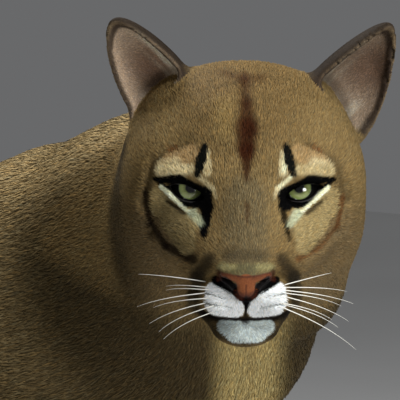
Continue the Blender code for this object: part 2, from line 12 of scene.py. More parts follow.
import bmesh
import bpy
import numpy as np
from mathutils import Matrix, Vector


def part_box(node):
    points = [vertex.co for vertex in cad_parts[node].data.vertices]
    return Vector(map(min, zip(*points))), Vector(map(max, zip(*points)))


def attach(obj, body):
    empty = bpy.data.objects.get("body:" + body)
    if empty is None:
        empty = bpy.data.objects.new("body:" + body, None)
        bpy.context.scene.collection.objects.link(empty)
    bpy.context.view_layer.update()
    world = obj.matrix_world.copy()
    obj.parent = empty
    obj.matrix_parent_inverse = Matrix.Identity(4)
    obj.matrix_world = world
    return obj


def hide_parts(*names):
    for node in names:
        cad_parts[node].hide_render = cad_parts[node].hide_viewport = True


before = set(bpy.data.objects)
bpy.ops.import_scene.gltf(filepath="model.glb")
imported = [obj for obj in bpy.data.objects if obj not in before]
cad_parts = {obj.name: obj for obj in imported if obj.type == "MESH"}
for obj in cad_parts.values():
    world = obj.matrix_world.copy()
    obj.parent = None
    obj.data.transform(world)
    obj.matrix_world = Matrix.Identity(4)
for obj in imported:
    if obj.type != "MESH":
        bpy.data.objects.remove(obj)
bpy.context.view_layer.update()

Array = np.ndarray
log = logging.getLogger("cougar")

# Sizes shared with the solids
GAP = 0.0003
HEAD_TURN = radians(56)         # head turned to the animal's right
HEAD_DOWN = radians(20)         # nose held down
EYES_AT = np.array([-0.165, -0.565, 0.700])
EYE_RADIUS = 0.0172
EYE_SIDE = 0.0392
EYE_DEEP = 0.0165
EYE_LOW = 0.0080
LID_THICK = 0.0033
GAZE_UP = radians(24)
GAZE_OUT = radians(13)
LID_SLANT = radians(11)
WITHERS = 0.658
FORE_SWING = {1: -0.035, -1: 0.040}
HIND_SWING = {1: 0.055, -1: -0.050}
TAIL_LENGTH = 0.80
TAIL_STEPS = 18
VIEW_DOWN = radians(8)          # the picture looks down on the head by this
FACE_TILT = HEAD_DOWN + VIEW_DOWN


def unit(vector) -> Array:
    """The vector at length one; rows of vectors are scaled row by row."""
    vector = np.asarray(vector, dtype=float)
    return vector / np.maximum(np.linalg.norm(vector, axis=-1, keepdims=True), 1e-12)


def smooth(low: float, high: float, value: Array) -> Array:
    """0 at low, 1 at high, with a level start and end (3t^2 - 2t^3)."""
    share = np.clip((value - low) / (high - low), 0.0, 1.0)
    return share * share * (3 - 2 * share)


def mix(one, two, share: Array) -> Array:
    """One where share is 0, two where it is 1."""
    return one + (two - one) * share


def blend(a: Array, b: Array, width: float) -> Array:
    """Smaller of two distances, rounded where they are within width of each other."""
    near = np.maximum(width - np.abs(a - b), 0) / width
    return np.minimum(a, b) - near * near * width * 0.25


def carve(a: Array, b: Array, width: float) -> Array:
    """Distance a less the shape at distance b, with the edge rounded over width."""
    return -blend(-a, b, width)


def head_axes() -> Array:
    """Rows: forward along the nose, the animal's left, and up, for the turned head."""
    flat = np.array([-sin(HEAD_TURN), -cos(HEAD_TURN), 0.0])
    forward = cos(HEAD_DOWN) * flat - sin(HEAD_DOWN) * np.array([0.0, 0.0, 1.0])
    left = np.array([cos(HEAD_TURN), -sin(HEAD_TURN), 0.0])
    return np.array([forward, left, np.cross(forward, left)])


HEAD = head_axes()


def turned(pitch: float = 0.0, yaw: float = 0.0, roll: float = 0.0) -> Array:
    """Rows of a frame tipped by pitch (x axis up), yaw (towards +y) and roll (about x)."""
    a, b, c = -pitch, yaw, roll
    about_y = np.array([[cos(a), 0, sin(a)], [0, 1, 0], [-sin(a), 0, cos(a)]])
    about_z = np.array([[cos(b), -sin(b), 0], [sin(b), cos(b), 0], [0, 0, 1]])
    about_x = np.array([[1, 0, 0], [0, cos(c), -sin(c)], [0, sin(c), cos(c)]])
    return (about_z @ about_y @ about_x).T


@dataclass(frozen=True)
class Ball:
    """An ellipsoid of flesh; a paired one has a twin across the middle of the head."""

    centre: tuple
    radii: tuple
    width: float = 0.03
    turn: Array | None = None
    paired: bool = False

    def spots(self) -> list:
        """The place and reach of the ball."""
        return [(self.centre, max(self.radii))]

    def distance(self, points: Array) -> Array:
        """|p/r| (|p/r| - 1) / |p/r^2|, in the ball's own axes."""
        local = points - np.array(self.centre)
        if self.turn is not None:
            local = local @ self.turn.T
        radii = np.array(self.radii)
        inner = np.linalg.norm(local / radii, axis=1) + 1e-12
        return inner * (inner - 1) / (np.linalg.norm(local / radii**2, axis=1) + 1e-12)


@dataclass(frozen=True)
class Limb:
    """A round that tapers from one end ball to the other, flattened along one direction."""

    start: tuple
    end: tuple
    start_radius: float
    end_radius: float
    width: float = 0.03
    side: tuple = (1.0, 0.0, 0.0)
    flat: float = 1.0
    paired: bool = False

    def spots(self) -> list:
        """The place and reach of each end."""
        return [(self.start, self.start_radius), (self.end, self.end_radius)]

    def distance(self, points: Array) -> Array:
        """Distance to the middle line, less the radius there, squashed along side."""
        start, side = np.array(self.start), unit(self.side)
        line = np.array(self.end) - start
        local = points - start
        along = np.clip(local @ line / (line @ line), 0, 1)
        away = local - along[:, None] * line
        if self.flat != 1.0:
            away = away + ((away @ side) * (1 / self.flat - 1))[:, None] * side
        radius = self.start_radius + (self.end_radius - self.start_radius) * along
        return (np.linalg.norm(away, axis=1) - radius) * min(self.flat, 1.0)


class Group:
    """Flesh that belongs together, in its own frame, with the ball that bounds it."""

    def __init__(self, masses: list, width: float = 0.035, origin=(0.0, 0.0, 0.0),
                 axes: Array | None = None) -> None:
        """Keep the masses and find the middle and reach of their bounding ball."""
        self.masses = masses
        self.width = width
        self.origin = np.array(origin)
        self.axes = np.eye(3) if axes is None else axes
        spots = [spot for mass in masses for spot in mass.spots()]
        places = np.array([at for at, _ in spots], dtype=float)
        reach = np.array([radius for _, radius in spots])[:, None]
        self.middle = ((places - reach).min(0) + (places + reach).max(0)) / 2
        self.reach = (np.linalg.norm(places - self.middle, axis=1) + reach[:, 0]).max()

    def distance(self, points: Array) -> Array:
        """Blended distance near the group, and the distance to its bounding ball elsewhere."""
        local = (points - self.origin) @ self.axes.T
        result = np.linalg.norm(local - self.middle, axis=1) - self.reach
        near = result < 0.06
        if not near.any():
            return result
        local = local[near]
        folded = local * np.array([1.0, 0.0, 1.0]) + np.abs(local) * np.array([0.0, 1.0, 0.0])
        total = None
        for mass in self.masses:
            here = mass.distance(folded if mass.paired else local)
            total = here if total is None else blend(total, here, mass.width)
        result[near] = total
        return result


@dataclass(frozen=True)
class Ear:
    """The cup of an ear: a ball stretched and narrowed upwards, less a second one set forward."""

    root: tuple
    tilt: float
    face: float
    height: float
    half: float
    taper: float = 0.30
    dark: tuple = (0.0, 0.35)       # the brown middle, as shares of the half width and the height
    tone: float = 1.0               # how light the hollow is painted: above 1 it is painted light in a hollow that lies in shade
    hairs: float = 0.0              # how much lighter its pale hairs are painted; on the right ear this is painted light in the shaded hollow
    edge: float = 0.0038
    wall: float = 0.0055
    deep: float = 0.023
    back: float = 0.012
    middle: float = 0.018

    def axes(self) -> Array:
        """Rows: across the ear, up it, and out of its opening, for the left one."""
        up = unit([-0.12, sin(self.tilt), cos(self.tilt)])
        front = np.array([cos(self.face), sin(self.face), 0.18])
        front = unit(front - (front @ up) * up)
        return np.array([np.cross(up, front), up, front])

    def local(self, folded: Array) -> Array:
        """Folded head places in the ear's own frame."""
        return (folded - np.array(self.root)) @ self.axes().T

    def narrowing(self, up: Array) -> Array:
        """The share of its full width that the ear has at each height."""
        return 1.06 - self.taper * np.clip(up / self.height, -0.6, 1.2)

    def reach(self, across: Array, up: Array) -> Array:
        """0 at the middle of the opening and 1 at its rim."""
        return np.hypot(across / self.narrowing(up) / self.half, (up - self.middle) / (self.height - self.middle))

    def distance(self, folded: Array) -> Array:
        """Distance to the cup, its rim rounded."""
        across, up, out = self.local(folded).T
        narrow = self.narrowing(up)
        place = np.stack([across / narrow, up - self.middle, out + self.back], 1)
        within = place * np.array([0.0, 1.0, 1.0])
        within[:, 0] = across * (self.half - self.edge) / (self.half * narrow - self.edge)
        tall = self.height - self.middle
        outer = Ball((0, 0, 0), (self.half, tall, self.deep)).distance(place)
        hollow = Ball((0, 0.001, self.wall + 0.0035),
                      (self.half - self.edge, tall - 0.0028, self.deep - 0.0005)).distance(within)
        cup = carve(outer, hollow, 0.0065)
        return carve(cup, 0.008 - out, 0.004)


# The right ear's (side -1) tone and hairs above 1 are painted light in its shaded hollow.
EARS = {
    1: Ear((-0.088, 0.0715, 0.012), 0.55, 0.50, 0.081, 0.0355, 0.60, (0.30, 0.52), 0.90),
    -1: Ear((-0.086, 0.0605, 0.022), 0.555, 0.36, 0.076, 0.0290, 0.38, (0.0, 0.32), 1.42, 1.3),
}


@dataclass(frozen=True)
class Lids:
    """The almond between the lids: two arcs across the front of the eyeball."""

    low_radius: float = 0.0185
    low: float = 0.0082
    high_radius: float = 0.0240
    high: float = 0.0050
    shift: float = -0.0010

    def axes(self) -> Array:
        """Rows: out of the eye, outwards along the slanting lids, and up across them."""
        out = np.array([cos(GAZE_UP) * cos(GAZE_OUT), cos(GAZE_UP) * sin(GAZE_OUT), sin(GAZE_UP)])
        across = unit([-sin(GAZE_OUT), cos(GAZE_OUT), 0.0])
        over = np.cross(out, across)
        along = cos(LID_SLANT) * across + sin(LID_SLANT) * over
        return np.array([out, along, cos(LID_SLANT) * over - sin(LID_SLANT) * across])

    def local(self, folded: Array) -> Array:
        """Folded head places from the eye's middle: out, along and up."""
        return (folded - np.array([-EYE_DEEP, EYE_SIDE, -EYE_LOW])) @ self.axes().T

    def almond(self, along: Array, up: Array) -> Array:
        """Flat distance to the almond: inside both arcs' circles."""
        along = along - self.shift
        under = np.hypot(along, up - (self.low_radius - self.low)) - self.low_radius
        over = np.hypot(along, up + (self.high_radius - self.high)) - self.high_radius
        return -blend(-under, -over, 0.0015)

    def edge(self, share: Array) -> tuple[Array, Array]:
        """Points round the edge of the almond, for shares 0 to 1 of the way round it."""
        apart = (self.low_radius - self.low) + (self.high_radius - self.high)
        along = (apart**2 + self.low_radius**2 - self.high_radius**2) / (2 * apart)
        half = (self.low_radius**2 - along**2) ** 0.5
        x = np.cos(2 * pi * share) * half
        under = (self.low_radius - self.low) - np.sqrt(self.low_radius**2 - x * x)
        over = np.sqrt(self.high_radius**2 - x * x) - (self.high_radius - self.high)
        return x + self.shift, np.where(share < 0.5, over, under)


LIDS = Lids()


class Animal:
    """The whole form: flesh, ears, lids, nostrils and mouth as one distance field."""

    def __init__(self) -> None:
        """Build every group of flesh."""
        self.head = self.head_group()
        self.neck = self.neck_group()
        self.trunk = self.trunk_group()
        self.legs = [leg(side) for leg in (self.foreleg, self.hindleg) for side in (1, -1)]
        self.path = self.tail_path()
        self.tail = self.tail_group()
        self.groups = [self.trunk, self.neck, *self.legs, self.tail, self.head]

    @staticmethod
    def head_group() -> Group:
        """Skull, cheeks, brow, bridge, muzzle and chin, from the point between the eyes."""
        lid = EYE_RADIUS + LID_THICK
        skull = [
            Ball((-0.074, 0, 0.006), (0.070, 0.065, 0.056)),
            Ball((-0.036, 0, 0.007), (0.046, 0.053, 0.034), 0.030, turned(-0.42)),
            Ball((-0.094, 0.038, 0.003), (0.040, 0.041, 0.036), 0.030, paired=True),
            Ball((-0.052, 0.0585, -0.020), (0.046, 0.033, 0.050), 0.022, paired=True),
            Ball((-0.060, 0.048, -0.066), (0.048, 0.040, 0.042), 0.026, paired=True),
        ]
        jaw = [
            Limb((-0.045, 0.036, -0.076), (0.030, 0.014, -0.088), 0.026, 0.014, 0.018, paired=True),
            Ball((-0.055, 0, -0.074), (0.060, 0.045, 0.034)),
            Ball((-0.085, 0.039, -0.118), (0.050, 0.042, 0.047), 0.030, paired=True),
        ]
        face = [
            Ball((0.000, 0.038, -0.038), (0.034, 0.026, 0.026), 0.016, turned(0.35, -0.35), True),
            Ball((0.026, 0.025, -0.043), (0.030, 0.017, 0.022), 0.016, turned(0.30, -0.20), True),
            Limb((0.002, 0, -0.012), (0.052, 0, -0.035), 0.0275, 0.0212, 0.018, (0, 0, 1), 0.88),
            Ball((0.046, 0.0160, -0.0578), (0.027, 0.0175, 0.0168), 0.007, turned(0.15, 0.25), True),
            Ball((0.030, 0, -0.060), (0.036, 0.030, 0.023), 0.012),
            Ball((0.044, 0, -0.0870), (0.025, 0.0250, 0.0140), 0.006, turned(0.12)),
            Ball((-0.0125, 0.0360, 0.0115), (0.015, 0.026, 0.0085), 0.012, turned(0, 0.42, -0.22), True),
        ]
        nose = [
            Ball((0.0660, 0, -0.0315), (0.0125, 0.0200, 0.0090), 0.005, turned(0.35)),
            Ball((0.0705, 0, -0.0400), (0.0090, 0.0105, 0.0115), 0.005, turned(0.1)),
        ]
        lids = [Ball((-EYE_DEEP, EYE_SIDE, -EYE_LOW), (lid, lid, lid), 0.006, None, True)]
        return Group(skull + jaw + face + nose + lids, 0.035, EYES_AT, HEAD)

    @staticmethod
    def neck_group() -> Group:
        """The neck from the shoulders up to the back of the skull."""
        return Group([
            Limb((0, -0.258, 0.555), (-0.012, -0.385, 0.617), 0.116, 0.103, 0.06, (1, 0, 0), 0.88),
            Limb((-0.012, -0.38, 0.615), (-0.074, -0.487, 0.676), 0.103, 0.088, 0.06, (0.9, -0.5, 0), 0.97),
            Ball((-0.024, -0.432, 0.572), (0.092, 0.090, 0.098), 0.05),
            Ball((0, -0.275, 0.592), (0.080, 0.062, 0.100), 0.03),
        ], 0.06)

    @staticmethod
    def trunk_group() -> Group:
        """Chest, belly, loins, rump, the ridge of the withers and the breast."""
        back = WITHERS
        return Group([
            Ball((0, -0.200, back - 0.154), (0.116, 0.195, 0.142)),
            Ball((0, 0.020, back - 0.133), (0.112, 0.235, 0.118), 0.10),
            Ball((0, 0.200, back - 0.106), (0.098, 0.200, 0.100), 0.10),
            Ball((0, 0.320, back - 0.093), (0.098, 0.130, 0.098), 0.08),
            Limb((0, -0.27, back - 0.062), (0, -0.12, back - 0.068), 0.050, 0.045, 0.07),
            Ball((0, -0.350, back - 0.183), (0.088, 0.080, 0.100), 0.07),
        ])

    @staticmethod
    def toes(at: tuple, half: float) -> list[tuple]:
        """Middles of the four toes of a foot, in an arc ahead of its palm."""
        size = half / 0.0475
        steps = (-1.5, -0.5, 0.5, 1.5)
        return [(at[0] + 0.0215 * s * size, at[1] - (0.056 - 0.012 * s * s) * size + 0.009, 0.019) for s in steps]

    def foot(self, at: tuple, half: float, width: float) -> list:
        """A broad foot: a palm and four toes, sunk below the floor to be cut flat."""
        size = half / 0.0475
        palm = Ball((at[0], at[1] + 0.006 * size, 0.026), (0.042 * size, 0.046 * size, 0.030), width)
        radii = (0.0138 * size, 0.027 * size, 0.022)
        return [palm] + [Ball(toe, radii, 0.006) for toe in self.toes(at, half)]

    def foreleg(self, side: int) -> Group:
        """Shoulder blade, arm, forearm and foot, the foot swung along y."""
        swing = FORE_SWING[side]
        blade = (0.060 * side, -0.238, WITHERS - 0.056)
        shoulder = (0.094 * side, -0.338, 0.490)
        elbow = (0.092 * side, -0.255 + 0.25 * swing, 0.395)
        wrist = (0.084 * side, -0.290 + 0.85 * swing, 0.160)
        ankle = (0.084 * side, -0.303 + swing, 0.062)
        behind = (elbow[0], elbow[1] + 0.020, elbow[2] - 0.020)
        return Group([
            Limb(blade, shoulder, 0.050, 0.064, 0.03, flat=0.62),
            Ball((0.088 * side, -0.275 + swing / 2, 0.490), (0.048, 0.095, 0.100), 0.05),
            Limb(shoulder, elbow, 0.068, 0.056, 0.03, flat=0.80),
            Limb(elbow, wrist, 0.053, 0.036, 0.03, flat=0.92),
            Ball(behind, (0.036, 0.036, 0.056), 0.03),
            Limb(wrist, ankle, 0.036, 0.037, 0.02, flat=1.08),
            *self.foot((ankle[0], ankle[1] - 0.022), 0.0500, 0.02),
        ])

    def hindleg(self, side: int) -> Group:
        """Thigh, shank, hock and foot."""
        swing = HIND_SWING[side]
        hip = (0.064 * side, 0.312, 0.572)
        knee = (0.092 * side, 0.205 + 0.35 * swing, 0.420)
        hock = (0.088 * side, 0.400 + 0.72 * swing, 0.238)
        ankle = (0.086 * side, 0.362 + swing, 0.060)
        ham = ((0.062 * side, 0.368, 0.556), (0.086 * side, 0.325 + 0.4 * swing, 0.405))
        heel = (hock[0], hock[1] + 0.006, hock[2] + 0.010)
        return Group([
            Limb(hip, knee, 0.108, 0.070, 0.03, flat=0.64),
            Limb(*ham, 0.084, 0.058, 0.05, flat=0.70),
            Limb(knee, hock, 0.064, 0.034, 0.04, flat=0.80),
            Limb(hock, ankle, 0.033, 0.034, 0.018, flat=0.95),
            Ball(heel, (0.023, 0.030, 0.036), 0.02),
            *self.foot((ankle[0], ankle[1] - 0.030), 0.0455, 0.02),
        ], 0.05)

    @staticmethod
    def tail_path() -> Array:
        """Hangs from the croup, nearly upright at first, then sweeps out level near the floor."""
        share = np.arange(TAIL_STEPS) / (TAIL_STEPS - 1)
        droop = np.radians(-30 - 46 * np.sin(pi * np.minimum(share * 2.2, 1.0) / 2) + 106 * share**3)
        sway = 0.10 + 0.16 * share
        steps = np.stack([np.cos(droop) * sway, np.cos(droop), np.sin(droop)], 1)
        start = np.array([[0.0, 0.405, WITHERS - 0.052]])
        return np.concatenate([start, start + np.cumsum(steps, 0) * TAIL_LENGTH / TAIL_STEPS])

    def tail_group(self) -> Group:
        """Thick at the root, then nearly even, a little thinner to the tip."""
        share = np.arange(TAIL_STEPS + 1) / TAIL_STEPS
        thick = 0.0255 - 0.004 * share + 0.018 * (1 - share)**8
        ends = zip(self.path[:-1], self.path[1:], thick[:-1], thick[1:])
        return Group([Limb(tuple(a), tuple(b), r, s, 0.003) for a, b, r, s in ends], 0.05)

    def flesh(self, points: Array) -> Array:
        """Every group blended with the ones before it."""
        total = None
        for group in self.groups:
            here = group.distance(points)
            total = here if total is None else blend(total, here, group.width)
        return total

    def depth(self, local: Array, points: Array) -> Array:
        """How far the skin lies inside the solids: thin on the face, feet and ears."""
        away = np.linalg.norm(local - np.array([0.03, 0, -0.045]), axis=1)
        depth = mix(0.0009, 0.0055, smooth(0.035, 0.24, away))
        eye = np.linalg.norm(np.abs(local * (1, 1, 1)) * (0, 1, 0) + local * (1, 0, 1)
                             - np.array([0, EYE_SIDE, -0.008]), axis=1)
        depth = mix(0.0006, depth, smooth(0.018, 0.045, eye))
        return mix(0.0012, depth, smooth(0.03, 0.25, points[:, 2]))

    def skin(self, local: Array) -> Array:
        """The field of the skin at places in the head's frame.

        Args:
            local: places forward, left and up from the point between the eyes.

        Returns:
            Flesh set in by the coat's depth, plus ears, less eye openings, nostrils and
            mouth, and cut flat just above the floor.
        """
        points = local @ HEAD + EYES_AT
        total = self.flesh(points) + self.depth(local, points)
        near = (np.abs(local - np.array([-0.03, 0, 0])) < 0.16).all(1)
        if near.any():
            total[near] = self.features(local[near], total[near])
        return carve(total, points[:, 2] - 0.0008, 0.002)

    def features(self, local: Array, total: Array) -> Array:
        """Add the ears to the head and carve nostrils, mouth, lips' groove and eyes."""
        folded = fold(local)
        side, rise, ahead = face_plane(local)
        shown = smooth(-0.080, -0.060, ahead)
        total = total + shown * sum(crease.press(side, rise) for crease in FOLDS)
        left = local[:, 1] > 0
        ears = np.where(left, EARS[1].distance(folded), EARS[-1].distance(folded))
        total = blend(total, ears + 0.0004, 0.010)
        for groove, width in GROOVES:
            total = carve(total, groove.distance(folded), width)
        out, along, up = LIDS.local(folded).T
        opening = -blend(-LIDS.almond(along, up), out - 0.003, 0.001)
        total = carve(total, opening, 0.0016)
        ball = np.linalg.norm(folded - np.array([-EYE_DEEP, EYE_SIDE, -EYE_LOW]), axis=1)
        return carve(total, ball - EYE_RADIUS - GAP, 0.0004)


def face_plane(local: Array) -> tuple[Array, Array, Array]:
    """Places sideways, upwards and forwards in the plane that the face shows."""
    rise = local[:, 2] * cos(FACE_TILT) - local[:, 0] * sin(FACE_TILT)
    return local[:, 1], rise, local[:, 0] * cos(FACE_TILT) + local[:, 2] * sin(FACE_TILT)


def fold(local: Array) -> Array:
    """Places of the head's right half brought over to its left."""
    return local * np.array([1.0, 0.0, 1.0]) + np.abs(local) * np.array([0.0, 1.0, 0.0])


GROOVES = [     # nostrils, the slit beside each, the line of the mouth and the lip's groove
    (Limb((0.0800, 0.0082, -0.0385), (0.0650, 0.0150, -0.0335), 0.0036, 0.0032), 0.0016),
    (Limb((0.0740, 0.0140, -0.0350), (0.0620, 0.0215, -0.0355), 0.0020, 0.0014), 0.0016),
    (Limb((0.0740, 0.0, -0.0715), (0.050, 0.026, -0.0750), 0.0017, 0.0017), 0.0030),
    (Limb((0.050, 0.026, -0.0750), (0.012, 0.039, -0.0720), 0.0017, 0.0013), 0.0030),
    (Limb((0.0785, 0, -0.050), (0.0760, 0, -0.071), 0.0012, 0.0016), 0.0024),
]


@dataclass(frozen=True)
class Fold:
    """A soft crease pressed into the skin along a stroke in the plane the face shows, in millimetres."""

    start: tuple
    end: tuple
    width: float
    depth: float

    def press(self, side: Array, rise: Array) -> Array:
        """How far each place is pressed in: the depth times exp(-(distance / width)^2)."""
        start, line = np.array(self.start), np.array(self.end) - np.array(self.start)
        a, b = np.abs(side) * 1000 - start[0], rise * 1000 - start[1]
        along = np.clip((a * line[0] + b * line[1]) / (line @ line), 0, 1)
        away = np.hypot(a - along * line[0], b - along * line[1])
        return self.depth * np.exp(-(away / self.width)**2)


FOLDS = (       # rows of the pads, cheek's crease, side of the muzzle, brow, middle of the forehead
    Fold((28, -73.2), (14, -76.4), 1.3, 0.0011),
    Fold((27.5, -79.8), (10, -82.8), 1.3, 0.0011),
    Fold((67, 16), (73, -8), 3.0, 0.0018),
    Fold((73, -8), (66, -30), 3.0, 0.0022),
    Fold((66, -30), (42, -48), 3.0, 0.0018),
    Fold((22, -60), (34, -70), 2.6, 0.0024),
    Fold((34, -70), (35, -88), 2.6, 0.0020),
    Fold((38, -19.5), (57, -7.5), 1.6, 0.0009),
    Fold((42, 32), (66, 20), 3.0, 0.0014),
    Fold((0, 72), (0, 22), 5.0, 0.0012),
)


@dataclass
class SurfaceNet:
    """Draws a closed surface round a distance field, on a grid that is finest at the face."""

    fine: float
    coarse: float
    ratio: float = 1.16
    block: int = 8
    window: tuple = ((-0.150, 0.092), (-0.118, 0.118), (-0.112, 0.112))

    def line(self, low: float, high: float, window: tuple) -> Array:
        """Grid places whose step is fine in the window and grows outside it."""
        start, end = window
        middle = np.linspace(start, end, round((end - start) / self.fine) + 1)
        grow = np.minimum(self.fine * self.ratio ** np.arange(1, 400), self.coarse)
        above = end + np.cumsum(grow)
        below = start - np.cumsum(grow)
        above = above[: np.searchsorted(above, high) + 1]
        below = below[: np.searchsorted(-below, -low) + 1]
        line = np.concatenate([below[::-1], middle, above])
        spare = -(len(line) - 1) % self.block
        return np.concatenate([line, line[-1] + self.coarse * np.arange(1, spare + 1)])

    def draw(self, shape, low: Array, high: Array) -> tuple[Array, Array, Array]:
        """Find every cell that the surface crosses and join their middles into quads.

        Args:
            shape: gives distances for rows of places.
            low: lowest corner of the room that is searched.
            high: highest corner of it.

        Returns:
            Places, quads as rows of four places, and the size of cell at each place.
        """
        lines = [self.line(a, b, w) for a, b, w in zip(low, high, self.window)]
        counts = np.array([len(line) for line in lines])
        block = self.block
        blocks = np.stack(np.meshgrid(*[np.arange((c - 1) // block) for c in counts], indexing="ij"), -1)
        blocks = blocks.reshape(-1, 3)
        ends = [np.stack([line[blocks[:, i] * block], line[(blocks[:, i] + 1) * block]]) for i, line in enumerate(lines)]
        first, last = np.array(ends)[:, 0].T, np.array(ends)[:, 1].T
        reach = 0.8 * np.linalg.norm(last - first, axis=1) + 0.006
        blocks = blocks[np.abs(shape((first + last) / 2)) < reach]

        def place(index: Array) -> Array:
            """Grid places for rows of whole numbers."""
            return np.stack([line[index[:, i]] for i, line in enumerate(lines)], 1)

        def key(index: Array) -> Array:
            """One whole number for each grid place."""
            return (index[:, 0] * counts[1] + index[:, 1]) * counts[2] + index[:, 2]

        steps = np.stack(np.meshgrid(*[np.arange(block + 1)] * 3, indexing="ij"), -1).reshape(-1, 3)
        index = (blocks[:, None] * block + steps[None]).reshape(-1, 3)
        keys, first_at, back = np.unique(key(index), return_index=True, return_inverse=True)
        points = place(index[first_at])
        values = np.concatenate([shape(part) for part in np.array_split(points, len(points) // 400000 + 1)])
        values = np.where(values == 0, 1e-9, values)[back].reshape(len(blocks), *[block + 1] * 3)
        corners = np.array([(a, b, c) for a in (0, 1) for b in (0, 1) for c in (0, 1)])
        cut = np.stack([values[:, a:a + block, b:b + block, c:c + block].reshape(-1) for a, b, c in corners], 1)
        steps = np.stack(np.meshgrid(*[np.arange(block)] * 3, indexing="ij"), -1).reshape(-1, 3)
        cells = (blocks[:, None] * block + steps[None]).reshape(-1, 3)
        inside = cut < 0
        crossed = inside.any(1) & ~inside.all(1)
        cells, cut, inside = cells[crossed], cut[crossed], inside[crossed]
        total, count = np.zeros((len(cells), 3)), np.zeros(len(cells))
        for p in range(8):
            for q in range(p + 1, 8):
                if np.abs(corners[p] - corners[q]).sum() == 1:
                    here = inside[:, p] != inside[:, q]
                    share = cut[here, p] / (cut[here, p] - cut[here, q])
                    one, two = place(cells[here] + corners[p]), place(cells[here] + corners[q])
                    total[here] += one + (two - one) * share[:, None]
                    count[here] += 1
        middles = total / count[:, None]
        order = np.argsort(key(cells))
        sorted_keys = key(cells)[order]
        quads = []
        for corner, one, two in ((4, (0, 1, 0), (0, 0, 1)), (2, (0, 0, 1), (1, 0, 0)), (1, (1, 0, 0), (0, 1, 0))):
            here = inside[:, 0] != inside[:, corner]
            base, one, two = cells[here], np.array(one), np.array(two)
            ring = [order[np.searchsorted(sorted_keys, key(c))] for c in (base, base - one, base - one - two, base - two)]
            ring = np.stack(ring, 1)
            ring[~inside[here, 0]] = ring[~inside[here, 0]][:, ::-1]
            quads.append(ring)
        size = (place(cells + 1) - place(cells)).min(1)
        return middles, np.concatenate(quads), size


def settle(shape, points: Array, size: Array, rounds: int = 2) -> Array:
    """Slide points along the field's slope until its value is nought, less than half a cell a time."""
    corners = np.array([(1, 1, 1), (1, -1, -1), (-1, 1, -1), (-1, -1, 1)])
    step = 0.0004
    for _ in range(rounds):
        slope = sum(corner * shape(points + corner * step)[:, None] for corner in corners) / (4 * step)
        move = -(shape(points) / np.maximum((slope**2).sum(1), 0.05))[:, None] * slope
        length = np.linalg.norm(move, axis=1)
        points = points + move * np.minimum(1, 0.45 * size / np.maximum(length, 1e-12))[:, None]
    return points


def relax(points: Array, edges: Array, share: float) -> Array:
    """Each point moved by share towards the mean of the points it is joined to."""
    total, count = np.zeros_like(points), np.zeros(len(points))
    for one, two in ((0, 1), (1, 0)):
        count += np.bincount(edges[:, one], minlength=len(points))
        for axis in range(3):
            total[:, axis] += np.bincount(edges[:, one], points[edges[:, two], axis], len(points))
    return points + share * (total / count[:, None] - points)


def new_mesh(name: str, points: Array, faces: Array | list) -> bpy.types.Object:
    """A smooth-shaded mesh object in the scene, from places and faces."""
    mesh = bpy.data.meshes.new(name)
    if isinstance(faces, np.ndarray):
        sides = faces.shape[1]
        mesh.vertices.add(len(points))
        mesh.vertices.foreach_set("co", points.astype(np.float32).ravel())
        mesh.loops.add(faces.size)
        mesh.loops.foreach_set("vertex_index", faces.astype(np.int32).ravel())
        mesh.polygons.add(len(faces))
        mesh.polygons.foreach_set("loop_start", np.arange(0, faces.size, sides, dtype=np.int32))
    else:
        mesh.from_pydata(points.tolist(), [], faces)
    mesh.update(calc_edges=True)
    mesh.shade_smooth()
    thing = bpy.data.objects.new(name, mesh)
    bpy.context.scene.collection.objects.link(thing)
    return thing


def linear(colour) -> Array:
    """Screen colours of 0 to 255 as the light they stand for."""
    share = np.asarray(colour, dtype=float) / 255
    return np.where(share < 0.04045, share / 12.92, ((share + 0.055) / 1.055) ** 2.4)


def ripple(points: Array, scale: float, seed: int) -> Array:
    """Smooth waves of mixed directions, from -1 to 1: a sum of sines along random lines."""
    rng = np.random.default_rng(seed)
    ways = unit(rng.normal(size=(7, 3))) * scale * rng.uniform(0.6, 1.7, (7, 1))
    return np.sin(points @ ways.T + rng.uniform(0, 2 * pi, 7)).sum(1) / 3.4


